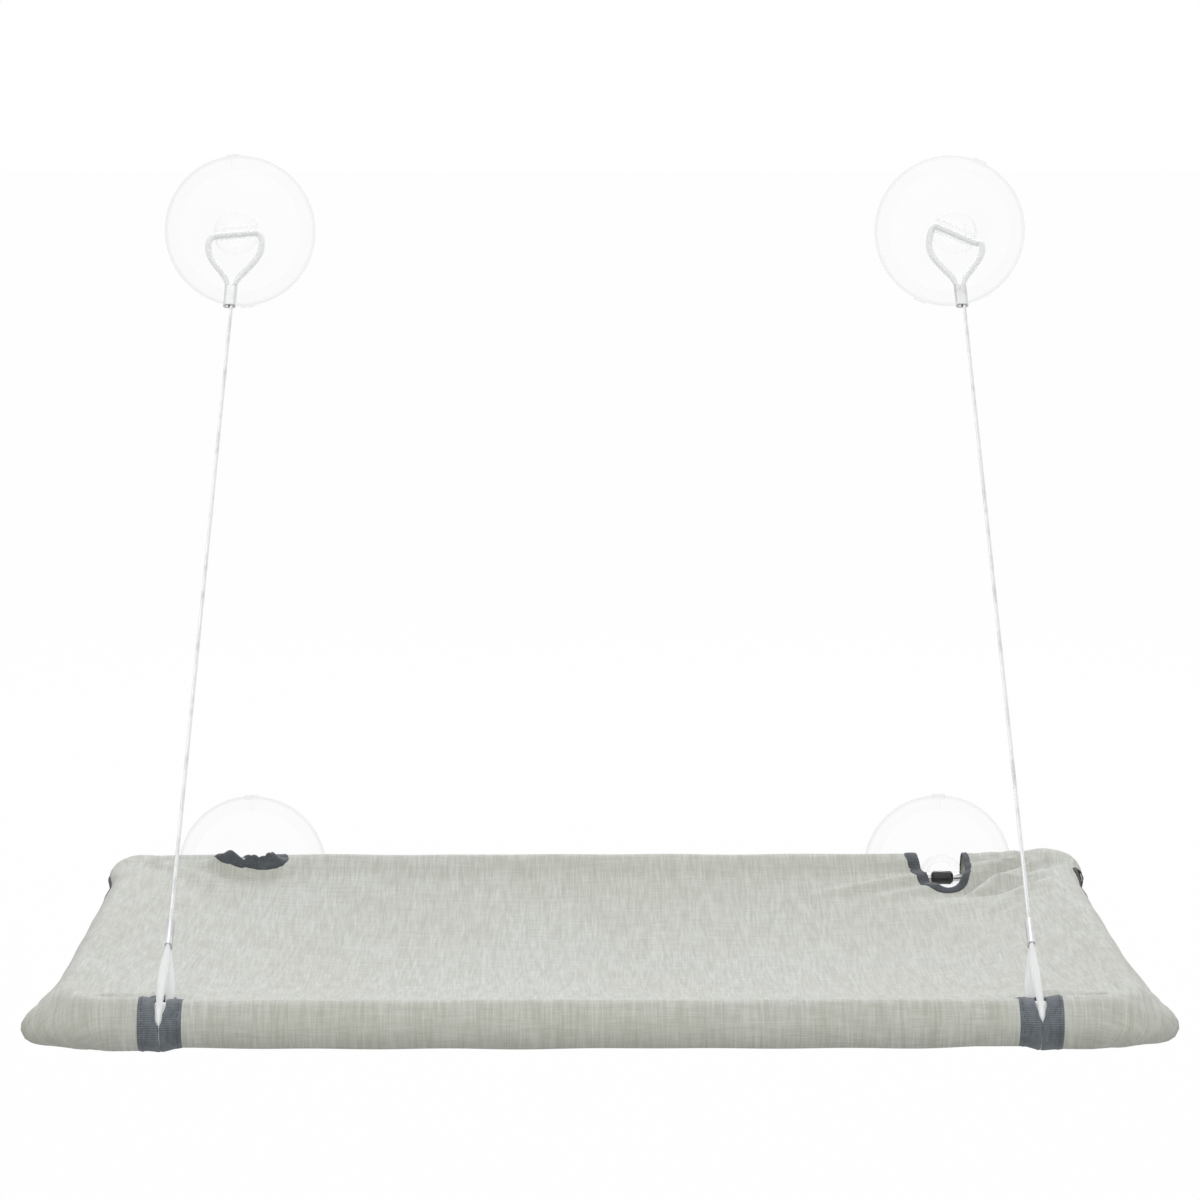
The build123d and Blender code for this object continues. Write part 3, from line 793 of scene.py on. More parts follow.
def pressed(points, line, sides, bar):
    """Flattens a sleeve by a share: in full where it bears on the bar, and not where it is free."""
    flattened, bearing, free = 0.28, 12.2, 15.0
    centre = np.repeat(line, sides, axis=0)
    out = centre - bar
    out[:, 0] = 0
    far = np.linalg.norm(out, axis=1, keepdims=True)
    out /= far
    share = flattened * (1 - smooth(bearing, free, far))
    rise = ((points - centre) * out).sum(axis=1, keepdims=True)
    return points - out * rise * share


def hollow_sleeve(name, line, waist, bar):
    """A clear tube with a wall, narrow at the waist where its two ends lie side by side."""
    line = evenly(line, SLEEVE_STEP)
    ones, twos = carried_frames(line)
    near = np.linalg.norm(line - waist, axis=1)
    swell = SWELL_HEIGHT * bell(near, SWELL_PLACE, SWELL_WIDTH) if bar is not None else 0
    full = SLEEVE_RADIUS + swell
    outside = NARROW_OUTSIDE + (full - NARROW_OUTSIDE) * smooth(0.5, 9.0, near)
    inside = NARROW_INSIDE + (SLEEVE_BORE - NARROW_INSIDE) * smooth(1.0, 7.0, near)
    outer = tube_rings(line, ones, twos, outside, SLEEVE_SIDES)
    inner = tube_rings(line, ones, twos, inside, SLEEVE_SIDES)
    if bar is not None:
        outer, inner = (pressed(skin, line, SLEEVE_SIDES, bar) for skin in (outer, inner))
    n = len(outer)
    wall = grid_faces(len(line), SLEEVE_SIDES, wrap=True)
    faces = wall + [tuple(n + i for i in reversed(f)) for f in wall]
    for start, flip in ((0, False), ((len(line) - 1) * SLEEVE_SIDES, True)):
        for i in range(SLEEVE_SIDES):
            j = (i + 1) % SLEEVE_SIDES
            quad = (start + j, start + i, n + start + i, n + start + j)
            faces.append(quad[::-1] if flip else quad)
    return mesh_object(name, np.concatenate([outer, inner]), faces)


# %% [markdown]
# ## Both ropes in place
# A rope crosses the joint: its upper loop stays with the cups and its lower one turns with the perch.
# The sleeves ride with the body at their end.

# %% Ropes and sleeves
LINE_STEP = 0.5
PATH_STEP = 4.0


def nearest(line, point):
    """The number of the line's point nearest to a place."""
    return int(np.argmin(np.linalg.norm(line - np.array(point), axis=1)))


def sleeve_part(side, end, line):
    """The part of a rope that one sleeve covers, its waist, and the bar if it goes round it."""
    upper, lower, along, across, up = rope_frame(side)
    half = len(line) // 2
    if end == "upper":
        start = upper + along * (UPPER_THROAT - 1.0)
        first, last, part = start - across * 1.3, start + across * 1.3, line[:half]
        waist, bar = upper + along * UPPER_THROAT, None
    else:
        start = lower - along * (LOWER_THROAT - 1.0)
        first, last, part = start + up * 1.3, start - up * 1.3, line[half:]
        waist, bar = lower - along * LOWER_THROAT, np.array(lower)
    return part[nearest(part, first):nearest(part, last) + 1], np.array(waist), bar


for name, side in SIDES.items():
    line = evenly(spline_points("route_" + name, rope_route(side)), LINE_STEP)
    rope = stranded_rope("steel_rope_" + name, line)
    dress(rope, ROPE)
    for end, body in (("upper", "cups"), ("lower", "platform")):
        sleeve = hollow_sleeve(f"{end}_clear_sleeve_{name}", *sleeve_part(side, end, line))
        dress(sleeve, SLEEVE)
        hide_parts(f"{end}_loop_sleeve_{name}")
        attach(sleeve, body)
    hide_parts("cable_" + name)
    upper, lower, along, _, _ = rope_frame(side)
    start = upper + along * (UPPER_THROAT + FERRULE_LENGTH)
    end = lower - along * (LOWER_THROAT + FERRULE_LENGTH)
    tuple(start * MM)
    tuple(end * MM)
    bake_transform(rope)
    path = evenly(line, PATH_STEP) * MM

# %% [markdown]
# ## The cover as one surface
# The cover could be a cloth simulation, but then its slots, tapes and stitches would have to be
# fitted to a shape that nobody knows beforehand. Here the stretched cloth is a function instead:
# a point of the flat cloth, spread out from the top panel, gives its place on the perch. Inside
# the tubes the panel sags, at the tubes it rolls over and goes under, and folds, tips and dents
# are added off that surface. Whatever is sewn on the cloth later asks the same function, so it
# lies exactly on it.

# %% The panel inside the tubes
SHEET_INSET = 5.0
SHEET_X = SIDE_X - SHEET_INSET
SHEET_MID_Y = (ROD_Y + FRONT_Y) / 2
SHEET_HALF_Y = (ROD_Y - FRONT_Y) / 2 - SHEET_INSET
EDGE_Z = 9.2
TOP_SAG = 25.0
BOTTOM_SAG = 12.0


def sheet_level(x, y, sag):
    """How high a panel lies: flat over the middle, steep at the sides, round from front to rear."""
    u = np.clip(np.abs(x) / SHEET_X, 0, 1)
    v = np.clip(np.abs(y - SHEET_MID_Y) / SHEET_HALF_Y, 0, 1)
    return EDGE_Z - sag * (1 - u ** 4) * (1 - v ** 2)


print("the top panel sags", EDGE_Z - float(sheet_level(0, SHEET_MID_Y, TOP_SAG)), "mm in the middle")

# %% [markdown]
# Tension pulls long folds from the corners over the panel: many from the right rear corner, where
# the opening is, and a few from each other corner and each rope. A table is enough for them. Each
# row gives where a fold starts, its heading, its length, its width and its height, and folds that
# go down have a height below 0.

# %% Tension folds
# Corner x, corner y, heading in degrees, start, length, width, height
FOLDS = (
    (232, -36, 207, 6, 120, 4.4, 3.0),
    (232, -36, 219, 8, 95, 4.0, -2.4),
    (232, -36, 196, 6, 150, 3.6, 2.6),
    (232, -36, 186, 8, 120, 3.2, -2.2),
    (232, -36, 232, 8, 110, 4.8, 2.5),
    (232, -36, 246, 10, 130, 6.0, -1.4),
    (226, -46, 201, 10, 70, 3.0, -1.3),
    (200, -46, 252, 2, 60, 4.0, -1.6),
    (240, -70, 227, 4, 66, 3.6, 2.6),
    (232, -60, 263, 4, 95, 3.0, -2.4),
    (240, -74, 244, 6, 85, 4.0, 2.0),
    (238, -64, 209, 4, 80, 3.2, -2.4),
    (238, -58, 195, 4, 66, 3.0, 2.0),
    (238, -96, 215, 6, 70, 4.0, -1.4),
    (-232, -36, -32, 10, 90, 7.0, 0.9),
    (-232, -36, -52, 10, 110, 7.0, -0.8),
    (234, -352, 150, 6, 80, 5.0, 1.4),
    (234, -352, 166, 6, 90, 4.0, -1.1),
    (-234, -352, 28, 6, 80, 5.0, 1.3),
    (-234, -352, 12, 6, 90, 4.0, -1.1),
    (195, -345, 60, 4, 60, 5.0, 0.8),
    (195, -345, 122, 4, 60, 5.0, 0.8),
    (-195, -345, 60, 4, 60, 5.0, 0.8),
    (-195, -345, 122, 4, 60, 5.0, 0.8),
)


def folds(x, y):
    """Height of the tension folds and of the cloth's slow waves over the top."""
    total = 0.35 * np.sin(x / 41 + 0.6) * np.sin(y / 57 + 1.1) + 0.25 * np.sin(x / 23 + y / 61)
    for cx, cy, heading, start, length, width, height in FOLDS:
        a = math.radians(heading)
        run = (x - cx) * math.cos(a) + (y - cy) * math.sin(a)
        off = -(x - cx) * math.sin(a) + (y - cy) * math.cos(a) + 3.0 * np.sin(run / 38)
        spread = width * (0.7 + 0.6 * np.clip(run / length, 0, 1))
        fade = smooth(start * 0.3, start * 2, run) * (1 - smooth(length * 0.45, length, run))
        total = total + height * fade * np.exp(-(off / spread) ** 2)
    return total


print(len(FOLDS), "folds")

# %% [markdown]
# ## Where the cloth stands off the plain rolls
# The rolls aren't plain tubes. The cloth lies on elbows and corner blocks that are thicker than
# the tube, its front corners end in loose tips, the rear corners are full and square, and the
# sleeves under it lift it beside the slots. Each of these is one soft hump over the place, the
# heading at a corner, and the angle round the roll, which is 0 on top and grows downwards.

# %% Elbows, tips and corner blocks
ELBOW_RISE = 1.25


def elbow(x, y):
    """1 over the frame's front elbows and their collars, fading to the plain tube."""
    sideways = smooth(STRAIGHT_X - 22, STRAIGHT_X - 11, np.abs(x))
    return sideways * smooth(FRONT_STRAIGHT + 22, FRONT_STRAIGHT + 11, y)


def rear_rise(x, y, ny):
    """How much higher the cloth lies on the rear roll, most over the right corner."""
    rear = np.where(y > -200, 1.0, 0.0)
    turned = smooth(np.where(x > 0, -0.1, 0.2), np.where(x > 0, 0.55, 0.9), ny)
    return rear * turned * (1.9 + 1.6 * bell(x, 228, 26))


def front_tip(x, y, heading, past, angle):
    """The loose tip of each front corner; the right one starts further back."""
    rise = smooth(np.where(x > 0, -222, -290), np.where(x > 0, -318, -320), y)
    height = (2.8 + 8.6 * bell(heading, 24, 22)) * (1 - smooth(55, 88, heading))
    return past * rise * height * bell(angle, 1.8, 0.55)


def rear_block(x, y, heading, past, angle):
    """The full, square cloth over each rear corner block."""
    corner = past * smooth(-78, -46, y) * (1 - smooth(50, 88, -heading))
    height = np.where(x > 0, 3.6, 3.2) + 4.0 * bell(-heading, 42, 30)
    return corner * height * bell(angle, 1.05, np.where(x > 0, 0.7, 0.5))


# %% Everything that lifts the cloth off the roll
def front_lift(x, ny, ahead, angle):
    """The front roll: fuller in the middle, and shaped by the sleeves beside each slot."""
    front = ahead * np.clip(-ny, 0, 1)
    fuller = front * (1 - smooth(140, 185, np.abs(x))) * bell(angle, 2.4, 0.7)
    sleeve = 1.7 * bell(np.abs(x), ROPE_X, 4.2) * front * smooth(0.9, 1.6, angle)
    return fuller + sleeve - 0.3 * bell(np.abs(x), ROPE_X, 16) * front * smooth(1.4, 2.0, angle)


def roll_swell(x, y, nx, ny, angle):
    """How far the cloth stands off the plain roll at an angle round it."""
    ahead = np.where(y < -200, 1.0, 0.0)
    heading = np.degrees(np.arctan2(-ny, np.abs(nx) + 1e-9))
    past = smooth(STRAIGHT_X - 2, STRAIGHT_X + 6, np.abs(x))
    swell = ELBOW_RISE * elbow(x, y) + front_tip(x, y, heading, past, angle)
    swell = swell + rear_block(x, y, heading, past, angle)
    swell = swell + rear_rise(x, y, ny) * bell(angle, 0, 1.1) + front_lift(x, ny, ahead, angle)
    # Fine wrinkles where the right rear corner pulls on the roll
    pulled = bell(x, 217, 19) * np.where(y > -60, 1.0, 0.0) * bell(angle, 0.1, 0.9)
    swell = swell + 0.35 * pulled * np.sin(x / 1.9 + angle * 2.4) * smooth(-0.3, 0.2, ny)
    # Slow waves round every roll, and small tucks in the front corners
    wave = 0.22 * np.sin(x / 17 + 0.4) * np.sin(angle * 1.7 + x / 60) + 0.15 * np.sin((x + y) / 9.5)
    corner = ahead * bell(heading, 45, 40) * past
    tuck = 0.5 * corner * np.sin(heading / 6.5) * smooth(0.2, 1.4, np.abs(angle))
    return swell + wave * smooth(-0.6, 0.4, angle) + tuck


# %% [markdown]
# ## From flat cloth to the stretched cover
# At the rear edge the cups' heads need room, so the cloth is cut out there. The cloth in front of
# the right cut-out has lost its hold and drops, and at the left one its edge stands up on the head.
# Then the parts come together. A flat point is measured from the smaller rectangle of straight
# lengths: near it the point is on the panel, further out on the roll, and beyond that under the
# frame, where the cloth ends in a seam. Where the panel meets a tube, the higher of the two wins,
# with a soft join.

# %% Dents at the cut-outs
def notch_dent(x, y):
    """The cloth drops in front of the right cut-out and stands up on the head at the left one."""
    drop = bell(np.hypot((x - CUP_X_LOWER) / 24, (y + 66) / 17), 0, 1)
    near = np.hypot((x + CUP_X_LOWER) / 17.5, (y - ROD_Y) / 20.0)
    lift = 1 - smooth(0.85, 1.5, near)
    wavy = 0.8 * np.sin((x + CUP_X_LOWER) / 1.7) + 0.45 * np.sin((x + y) / 0.75)
    return -3.4 * drop + 7.6 * lift + wavy * bell(near, 0.9, 0.25)


def over_tube(level, d, radius):
    """The higher of a panel and the round of the tube that it lies on, with a soft join."""
    gap = CORNER - d
    tube = np.sqrt(np.clip(radius ** 2 - gap ** 2, 0, None))
    soft = 0.4
    higher = (level + tube + np.sqrt((level - tube) ** 2 + soft ** 2)) / 2
    return np.where(gap < radius, higher, level)


# %% The whole cover as a function
ROLL_START = -math.asin(SHEET_INSET / ROLL)
ROLL_END = math.pi - ROLL_START
RUN_TO_ROLL = CORNER - SHEET_INSET


def from_straights(a, b):
    """The nearest point of the inner rectangle, and the direction and distance from it."""
    qx = np.clip(a, -STRAIGHT_X, STRAIGHT_X)
    qy = np.clip(b, FRONT_STRAIGHT, REAR_STRAIGHT)
    dx, dy = a - qx, b - qy
    d = np.hypot(dx, dy)
    safe = np.where(d > 1e-9, d, 1)
    return qx, qy, np.where(d > 1e-9, dx / safe, 0), np.where(d > 1e-9, dy / safe, 0), d


def cover_point(a, b, lift=0.0):
    """A flat cloth point, spread out from the top panel, on the stretched cover; lift is off it."""
    a, b = np.broadcast_arrays(np.asarray(a, float), np.asarray(b, float))
    qx, qy, nx, ny, d = from_straights(a, b)
    angle = ROLL_START + (d - RUN_TO_ROLL) / ROLL
    on_roll = np.clip(angle, ROLL_START, ROLL_END)
    lx, ly = qx + nx * CORNER, qy + ny * CORNER
    over = elbow(lx, ly)
    back = rear_rise(lx, ly, ny)
    base = ELBOW_RISE * over + back
    # On the roll: round the tube, at the roll's radius and what the cloth stands off it
    swell = base + (roll_swell(lx, ly, nx, ny, on_roll) - base) * smooth(0, 0.5, on_roll - ROLL_START)
    fade = 1 - smooth(ROLL_END - 0.45, ROLL_END, on_roll) * (1 - over)
    radius = ROLL + swell * fade + lift
    reach = CORNER + radius * np.sin(on_roll)
    roll = (qx + nx * reach, qy + ny * reach, radius * np.cos(on_roll))
    # On the panel: its sag, its folds and the higher cloth next to the rear roll
    waves = (folds(a, b) + notch_dent(a, b)) * smooth(RUN_TO_ROLL + 1, RUN_TO_ROLL - 9, d)
    waves = waves + back * 1.1 * smooth(0, RUN_TO_ROLL, d)
    panel = (a, b, over_tube(sheet_level(a, b, TOP_SAG) + waves, d, ROLL + base) + lift)
    # Under the frame: back towards the middle
    under = (angle - ROLL_END) * ROLL + SHEET_INSET
    ux, uy = qx + nx * (CORNER - under), qy + ny * (CORNER - under)
    level = sheet_level(ux, uy, -BOTTOM_SAG)
    below = (ux, uy, -over_tube(level, CORNER - under, ROLL + ELBOW_RISE * over) - lift)
    return np.stack([np.where(angle < ROLL_START, on_panel, np.where(angle > ROLL_END, beneath, rolled))
                     for on_panel, rolled, beneath in zip(panel, roll, below)], axis=-1)


print("the flat cloth's point 236, -364 lies on the cover at", cover_point(236.0, -364.0).round(1))

# %% [markdown]
# ## Cloth panels from rings
# Cloth is two panels: the top one, which goes over the rolls and under the frame, and the bottom
# one. A plain grid would be badly stretched round the corners. So a panel is a grid over the inner
# rectangle, and rings of points round it, one for each step outwards. At a corner each ring turns
# in small steps, so that the quads fan out evenly.

# %% Rings round the inner rectangle
def ring_plan(step, corner_count):
    """Points round the inner rectangle, anticlockwise, with each one's way out and grid number."""
    xs = np.linspace(-STRAIGHT_X, STRAIGHT_X, int(2 * STRAIGHT_X / step) + 1)
    ys = np.linspace(FRONT_STRAIGHT, REAR_STRAIGHT, int((REAR_STRAIGHT - FRONT_STRAIGHT) / step) + 1)
    last_x, last_y = len(xs) - 1, len(ys) - 1
    sides = (
        ([(i, 0) for i in range(last_x + 1)], (0, -1)),
        ([(last_x, j) for j in range(last_y + 1)], (1, 0)),
        ([(i, last_y) for i in range(last_x, -1, -1)], (0, 1)),
        ([(0, j) for j in range(last_y, -1, -1)], (-1, 0)),
    )
    cells, normals = [], []
    for turn, (cloth_edge, normal) in enumerate(sides):
        cells += cloth_edge
        normals += [normal] * len(cloth_edge)
        for k in range(1, corner_count):
            angle = math.radians(90 * turn - 90 + 90 * k / corner_count)
            cells.append(cloth_edge[-1])
            normals.append((math.cos(angle), math.sin(angle)))
    spots = np.array([(xs[i], ys[j]) for i, j in cells])
    return xs, ys, spots, np.array(normals), cells


def panel_mesh(step, corner_count, reaches, flip):
    """Flat points and faces: a grid over the inner rectangle and rings out to the last reach."""
    xs, ys, spots, normals, cells = ring_plan(step, corner_count)
    gx, gy = np.meshgrid(xs, ys)
    flat = [np.stack([gx.ravel(), gy.ravel()], axis=1)]
    flat += [spots + normals * reach for reach in reaches]
    inner, count = len(xs) * len(ys), len(spots)
    faces = grid_faces(len(ys), len(xs))
    border = [j * len(xs) + i for i, j in cells]
    for k in range(count):
        m = (k + 1) % count
        quad = (border[k], inner + k, inner + m, border[m])
        faces.append(quad[:3] if border[k] == border[m] else quad)
    for r in range(len(reaches) - 1):
        near, far = inner + r * count, inner + (r + 1) * count
        for k in range(count):
            m = (k + 1) % count
            faces.append((near + k, far + k, far + m, near + m))
    if flip:
        faces = [f[::-1] for f in faces]
    return np.concatenate(flat), faces


# %% [markdown]
# ## Openings in the cover
# The cover has six openings: two slots in the front roll for the loops, two cut-outs in the rear
# edge for the cups' heads, and a mouth at each rear corner. Each goes through the top panel and,
# where it reaches that far, the bottom one. On cloth they are cut with shears. Here a prism over
# each opening's outline is taken out with a Boolean, after the cloth has its thickness, so every
# cut edge is closed. The left cut-out is short and the right one long and leaning, as in the photo.

# %% Sizes of the openings
# ARM_STEPS are places in y along an arm; CUT_PAST is how far a cut goes past the tape's edge;
# OUTSIDE is a place in x, y and z that every cut starts from, clear of the cloth
NOTCH_WIDTH = 30.2
NOTCH_REACHES = {"left": 16.5, "right": 35.5}
NOTCH_MIDDLES = {"left": -179.6, "right": 180.2}
NOTCH_HALF = 12.8
BOTTOM_NOTCH_REACH = 20.0
ARM_STEPS = (5.0, -10.0, -22.0, -28.0, -31.0)
SLOT_WIDTH = 5.0
SLOT_TAPE = 7.25
SLOT_TOP = 20.5
SLOT_BOTTOM = 11.0
OPENING_REAR = REAR_STRAIGHT - 3.0
OPENING_LENGTH = 44.0
OPENING_HEIGHT = 6.0
CUT_PAST = 0.8
ARC_BEFORE_ROD = 6.0
OUTSIDE_X, OUTSIDE_Y, OUTSIDE_Z = 275.0, -400.0, 40
print("slots", SLOT_WIDTH, "mm, corner openings", OPENING_LENGTH, "mm long")


# %% The outline of a rear cut-out
def notch_arc(side, r, reach):
    """The round end of a rear cut-out of half width r and the direction off it at each point."""
    x = NOTCH_MIDDLES["right" if side > 0 else "left"]
    deep = reach - ARC_BEFORE_ROD
    middle = ROD_Y - ARC_BEFORE_ROD
    angles = [math.pi + math.pi * k / 32 for k in range(33)]
    arc = [(x + r * math.cos(t), middle + deep * math.sin(t)) for t in angles]
    off = [Vector((math.cos(t) * deep, math.sin(t) * r)).normalized()[:] for t in angles]
    return arc, off


def leaning(path, middle, r):
    """The right cut-out's arms lean to the left: each moves by its share of the way off the middle."""
    moved = []
    for x, y in path:
        arm = (x - middle) / r
        left_arm = 1.8 * bell(y, -48, 16) * max(0.0, -arm)
        right_arm = 1.8 * float(smooth(-60, -28, y)) * max(0.0, arm)
        moved.append((x + float(left_arm - right_arm), y))
    return moved


def notch_path(side, r, reach, ys, lean=True):
    """A rear cut-out as a U from its left arm to its right one, and the way off it."""
    arc, off = notch_arc(side, r, reach)
    path = [(arc[0][0], y) for y in ys] + arc + [(arc[-1][0], y) for y in reversed(ys)]
    off = [(-1, 0)] * len(ys) + off + [(1, 0)] * len(ys)
    if side > 0 and lean:
        path = leaning(path, (arc[0][0] + arc[-1][0]) / 2, r)
    return path, off


# %% Cutting with prisms
def cutter(name, outline, low, high):
    """A closed prism over a plan outline, used to cut cloth."""
    n = len(outline)
    points = [(x, y, low) for x, y in outline] + [(x, y, high) for x, y in outline]
    faces = [tuple(range(n))[::-1], tuple(range(n, 2 * n))]
    faces += [(i, (i + 1) % n, n + (i + 1) % n, n + i) for i in range(n)]
    return mesh_object(name, points, faces)


def box_cutter(x0, x1, y0, y1, low, high):
    """A closed box between two corners, used to cut cloth."""
    return cutter("cut", [(x0, y0), (x1, y0), (x1, y1), (x0, y1)], low, high)


def cut(made, tools):
    """Takes the prisms out of a mesh and deletes them."""
    for tool in tools:
        modifier = made.modifiers.new("cut", "BOOLEAN")
        modifier.object = tool
        modifier.operation = "DIFFERENCE"
        modifier.solver = "EXACT"
    bake(made)
    for tool in tools:
        bpy.data.objects.remove(tool)
    return made


def notch_cutters(name, side, top):
    """The prisms for a rear cut-out; the top cloth is also cut below, where it goes under."""
    if not top:
        outline = notch_path(side, NOTCH_WIDTH / 2, BOTTOM_NOTCH_REACH + CUT_PAST, ARM_STEPS, False)[0]
        return [cutter("cut", outline, -OUTSIDE_Z, OUTSIDE_Z)]
    half = NOTCH_HALF + CUT_PAST
    outline = notch_path(side, half, NOTCH_REACHES[name] + CUT_PAST, ARM_STEPS)[0]
    below = notch_path(side, half, BOTTOM_NOTCH_REACH, ARM_STEPS)[0]
    return [cutter("cut", outline, -4, OUTSIDE_Z), cutter("cut", below, -OUTSIDE_Z, -3.9)]


def slot_cutters(side, top):
    """The boxes for a front slot: over the roll and under it."""
    x, w = side * ROPE_X, SLOT_WIDTH / 2 + CUT_PAST
    if not top:
        return [box_cutter(x - w, x + w, OUTSIDE_Y, FRONT_Y + SLOT_BOTTOM + 1, -OUTSIDE_Z, 0)]
    return [box_cutter(x - w, x + w, OUTSIDE_Y, FRONT_Y + SLOT_TOP + 1, 0, OUTSIDE_Z),
            box_cutter(x - w, x + w, OUTSIDE_Y, FRONT_Y + 2, -OUTSIDE_Z, 1)]


def opening_cutters(side, top):
    """The boxes for a rear corner's mouth; the right one gapes at its rear end."""
    near, far = sorted((side * (SIDE_X + 4), side * OUTSIDE_X))
    h = OPENING_HEIGHT / 2
    tools = [box_cutter(near, far, OPENING_REAR - OPENING_LENGTH, OPENING_REAR, -h, h)]
    if top and side > 0:
        tools.append(box_cutter(near, far, OPENING_REAR - 13, OPENING_REAR - 1, -1, 6.5))
        tools.append(box_cutter(near, far, OPENING_REAR - 8, OPENING_REAR - 1, -1, 9.0))
    return tools


def panel_cuts(top):
    """The prisms for all openings of one panel."""
    tools = []
    for name, side in SIDES.items():
        tools += notch_cutters(name, side, top) + slot_cutters(side, top) + opening_cutters(side, top)
    return tools


# %% [markdown]
# ## The top panel
# The flat panel is laid out, each point is put where the cover's function says, and Solidify gives
# it the thickness of cloth, 0.7 mm, on the inner side, so the outer side stays on the measured
# shape. Then the openings are cut.

# %% Top cloth
CLOTH = 0.7
step = 3.0
roll_angles = np.linspace(0, ROLL_END + 0.06, 27)[1:]
top_reaches = [3.5, 7.0, 10.5, 14.0, RUN_TO_ROLL] + [RUN_TO_ROLL + ROLL * t for t in roll_angles]
flat, faces = panel_mesh(step, 16, top_reaches, False)
top_cloth = mesh_object("cover_top_cloth", cover_point(flat[:, 0], flat[:, 1]), faces, flat)
thicken(top_cloth, CLOTH)
cut(top_cloth, panel_cuts(True))
dress(top_cloth, LINEN)

# %% [markdown]
# ## The bottom panel
# The bottom panel closes the cover from below, from seam to seam. It is the same kind of surface
# with its own function, since it only reaches under the rolls. It sags less than the top one,
# because nothing sits on it.

# %% Bottom cloth
def bottom_point(a, b, lift=0.0):
    """A flat point of the bottom panel, seen from above, on the panel's lower face."""
    qx, qy, nx, ny, d = from_straights(a, b)
    over = np.clip((d - RUN_TO_ROLL) / ROLL, 0, None)
    angle = ROLL_END - over
    ripple = 0.4 * np.sin(a / 31 + 0.5) * np.sin(b / 43) + 0.25 * np.sin(a / 15 + b / 37)
    level = sheet_level(a, b, -BOTTOM_SAG) + ripple * smooth(RUN_TO_ROLL, RUN_TO_ROLL - 8, d)
    radius = ROLL + ELBOW_RISE * elbow(qx + nx * CORNER, qy + ny * CORNER)
    reach = CORNER + (radius + lift) * np.sin(angle)
    z = np.where(over > 0, (radius + lift) * np.cos(angle), -over_tube(level, d, radius) - lift)
    x = np.where(over > 0, qx + nx * reach, a)
    y = np.where(over > 0, qy + ny * reach, b)
    return np.stack([x, y, z], axis=-1)


bottom_reaches = [6.0, 12.0, RUN_TO_ROLL, 19.0, 21.5, 24.0]
flat, faces = panel_mesh(2 * step, 12, bottom_reaches, True)
under_face = bottom_point(flat[:, 0], flat[:, 1], -0.05)
bottom_cloth = mesh_object("cover_bottom_cloth", under_face, faces, flat)
thicken(bottom_cloth, CLOTH)
cut(bottom_cloth, panel_cuts(False))
dress(bottom_cloth, LINEN)


# %% Both panels ride on the perch
def join_platform(piece, node=None):
    """A piece turns with the perch and may take the place of a node, which is hidden."""
    if node:
        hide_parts(node)
    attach(piece, "platform")


join_platform(top_cloth, "cover_top")
join_platform(bottom_cloth, "cover_bottom")
print("panels ride on the platform")

# %% [markdown]
# ## Stitches by Geometry Nodes
# A seam is the same short thread hundreds of times along a line, and that is what Geometry Nodes
# are for. The tree cuts a line into even steps, puts a small bead on each step, stretched along
# the line, makes the copies real and gives them their thread. Its pitch, length, thickness and
# thread are inputs, so one tree sews every row. The result becomes a plain mesh, because an
# export drops copies that aren't real. Nothing in the tree is random, so it needs no seed.

# %% The stitch tree
def stitch_inputs(tree):
    """Gives the tree its named inputs and its output; returns each input's identifier."""
    face = tree.interface
    face.new_socket("Line", in_out="INPUT", socket_type="NodeSocketGeometry")
    kinds = {"Pitch": "Float", "Length": "Float", "Thickness": "Float", "Thread": "Material"}
    made = {title: face.new_socket(title, in_out="INPUT", socket_type="NodeSocket" + kind)
            for title, kind in kinds.items()}
    face.new_socket("Stitches", in_out="OUTPUT", socket_type="NodeSocketGeometry")
    return {title: socket.identifier for title, socket in made.items()}


def stitch_tree():
    """A node tree that lays stitches along the edges of a mesh."""
    tree = bpy.data.node_groups.new("stitch_row", "GeometryNodeTree")
    inputs = stitch_inputs(tree)
    given = add_node(tree, "NodeGroupInput").outputs
    line = add_node(tree, "GeometryNodeMeshToCurve", None, {"Mesh": given["Line"]})
    steps = add_node(tree, "GeometryNodeResampleCurve", {"mode": "LENGTH"},
                     {"Curve": line.outputs[0], "Length": given["Pitch"]})
    bead = add_node(tree, "GeometryNodeMeshUVSphere", None, {"Segments": 6, "Rings": 5, "Radius": 0.5})
    size = add_node(tree, "ShaderNodeCombineXYZ", None,
                    {"X": given["Thickness"], "Y": given["Thickness"], "Z": given["Length"]})
    tangent = add_node(tree, "GeometryNodeInputTangent")
    turn = add_node(tree, "FunctionNodeAlignRotationToVector", {"axis": "Z"},
                    {"Vector": tangent.outputs[0]})
    laid = add_node(tree, "GeometryNodeInstanceOnPoints", None,
                    {"Points": steps.outputs[0], "Instance": bead.outputs[0],
                     "Rotation": turn.outputs[0], "Scale": size.outputs[0]})
    solid = add_node(tree, "GeometryNodeRealizeInstances", None, {"Geometry": laid.outputs[0]})
    rounded = add_node(tree, "GeometryNodeSetShadeSmooth", None, {"Geometry": solid.outputs[0]})
    dressed = add_node(tree, "GeometryNodeSetMaterial", None,
                       {"Geometry": rounded.outputs[0], "Material": given["Thread"]})
    add_node(tree, "NodeGroupOutput", None, {"Stitches": dressed.outputs[0]})
    return tree, inputs


STITCHES, STITCH_INPUTS = stitch_tree()
print("stitch tree with", len(STITCHES.nodes), "nodes and the inputs", *STITCH_INPUTS)

# %% A row of stitches
PITCH = 3.4
STITCH = 2.5
THREAD_THICKNESS = 0.36


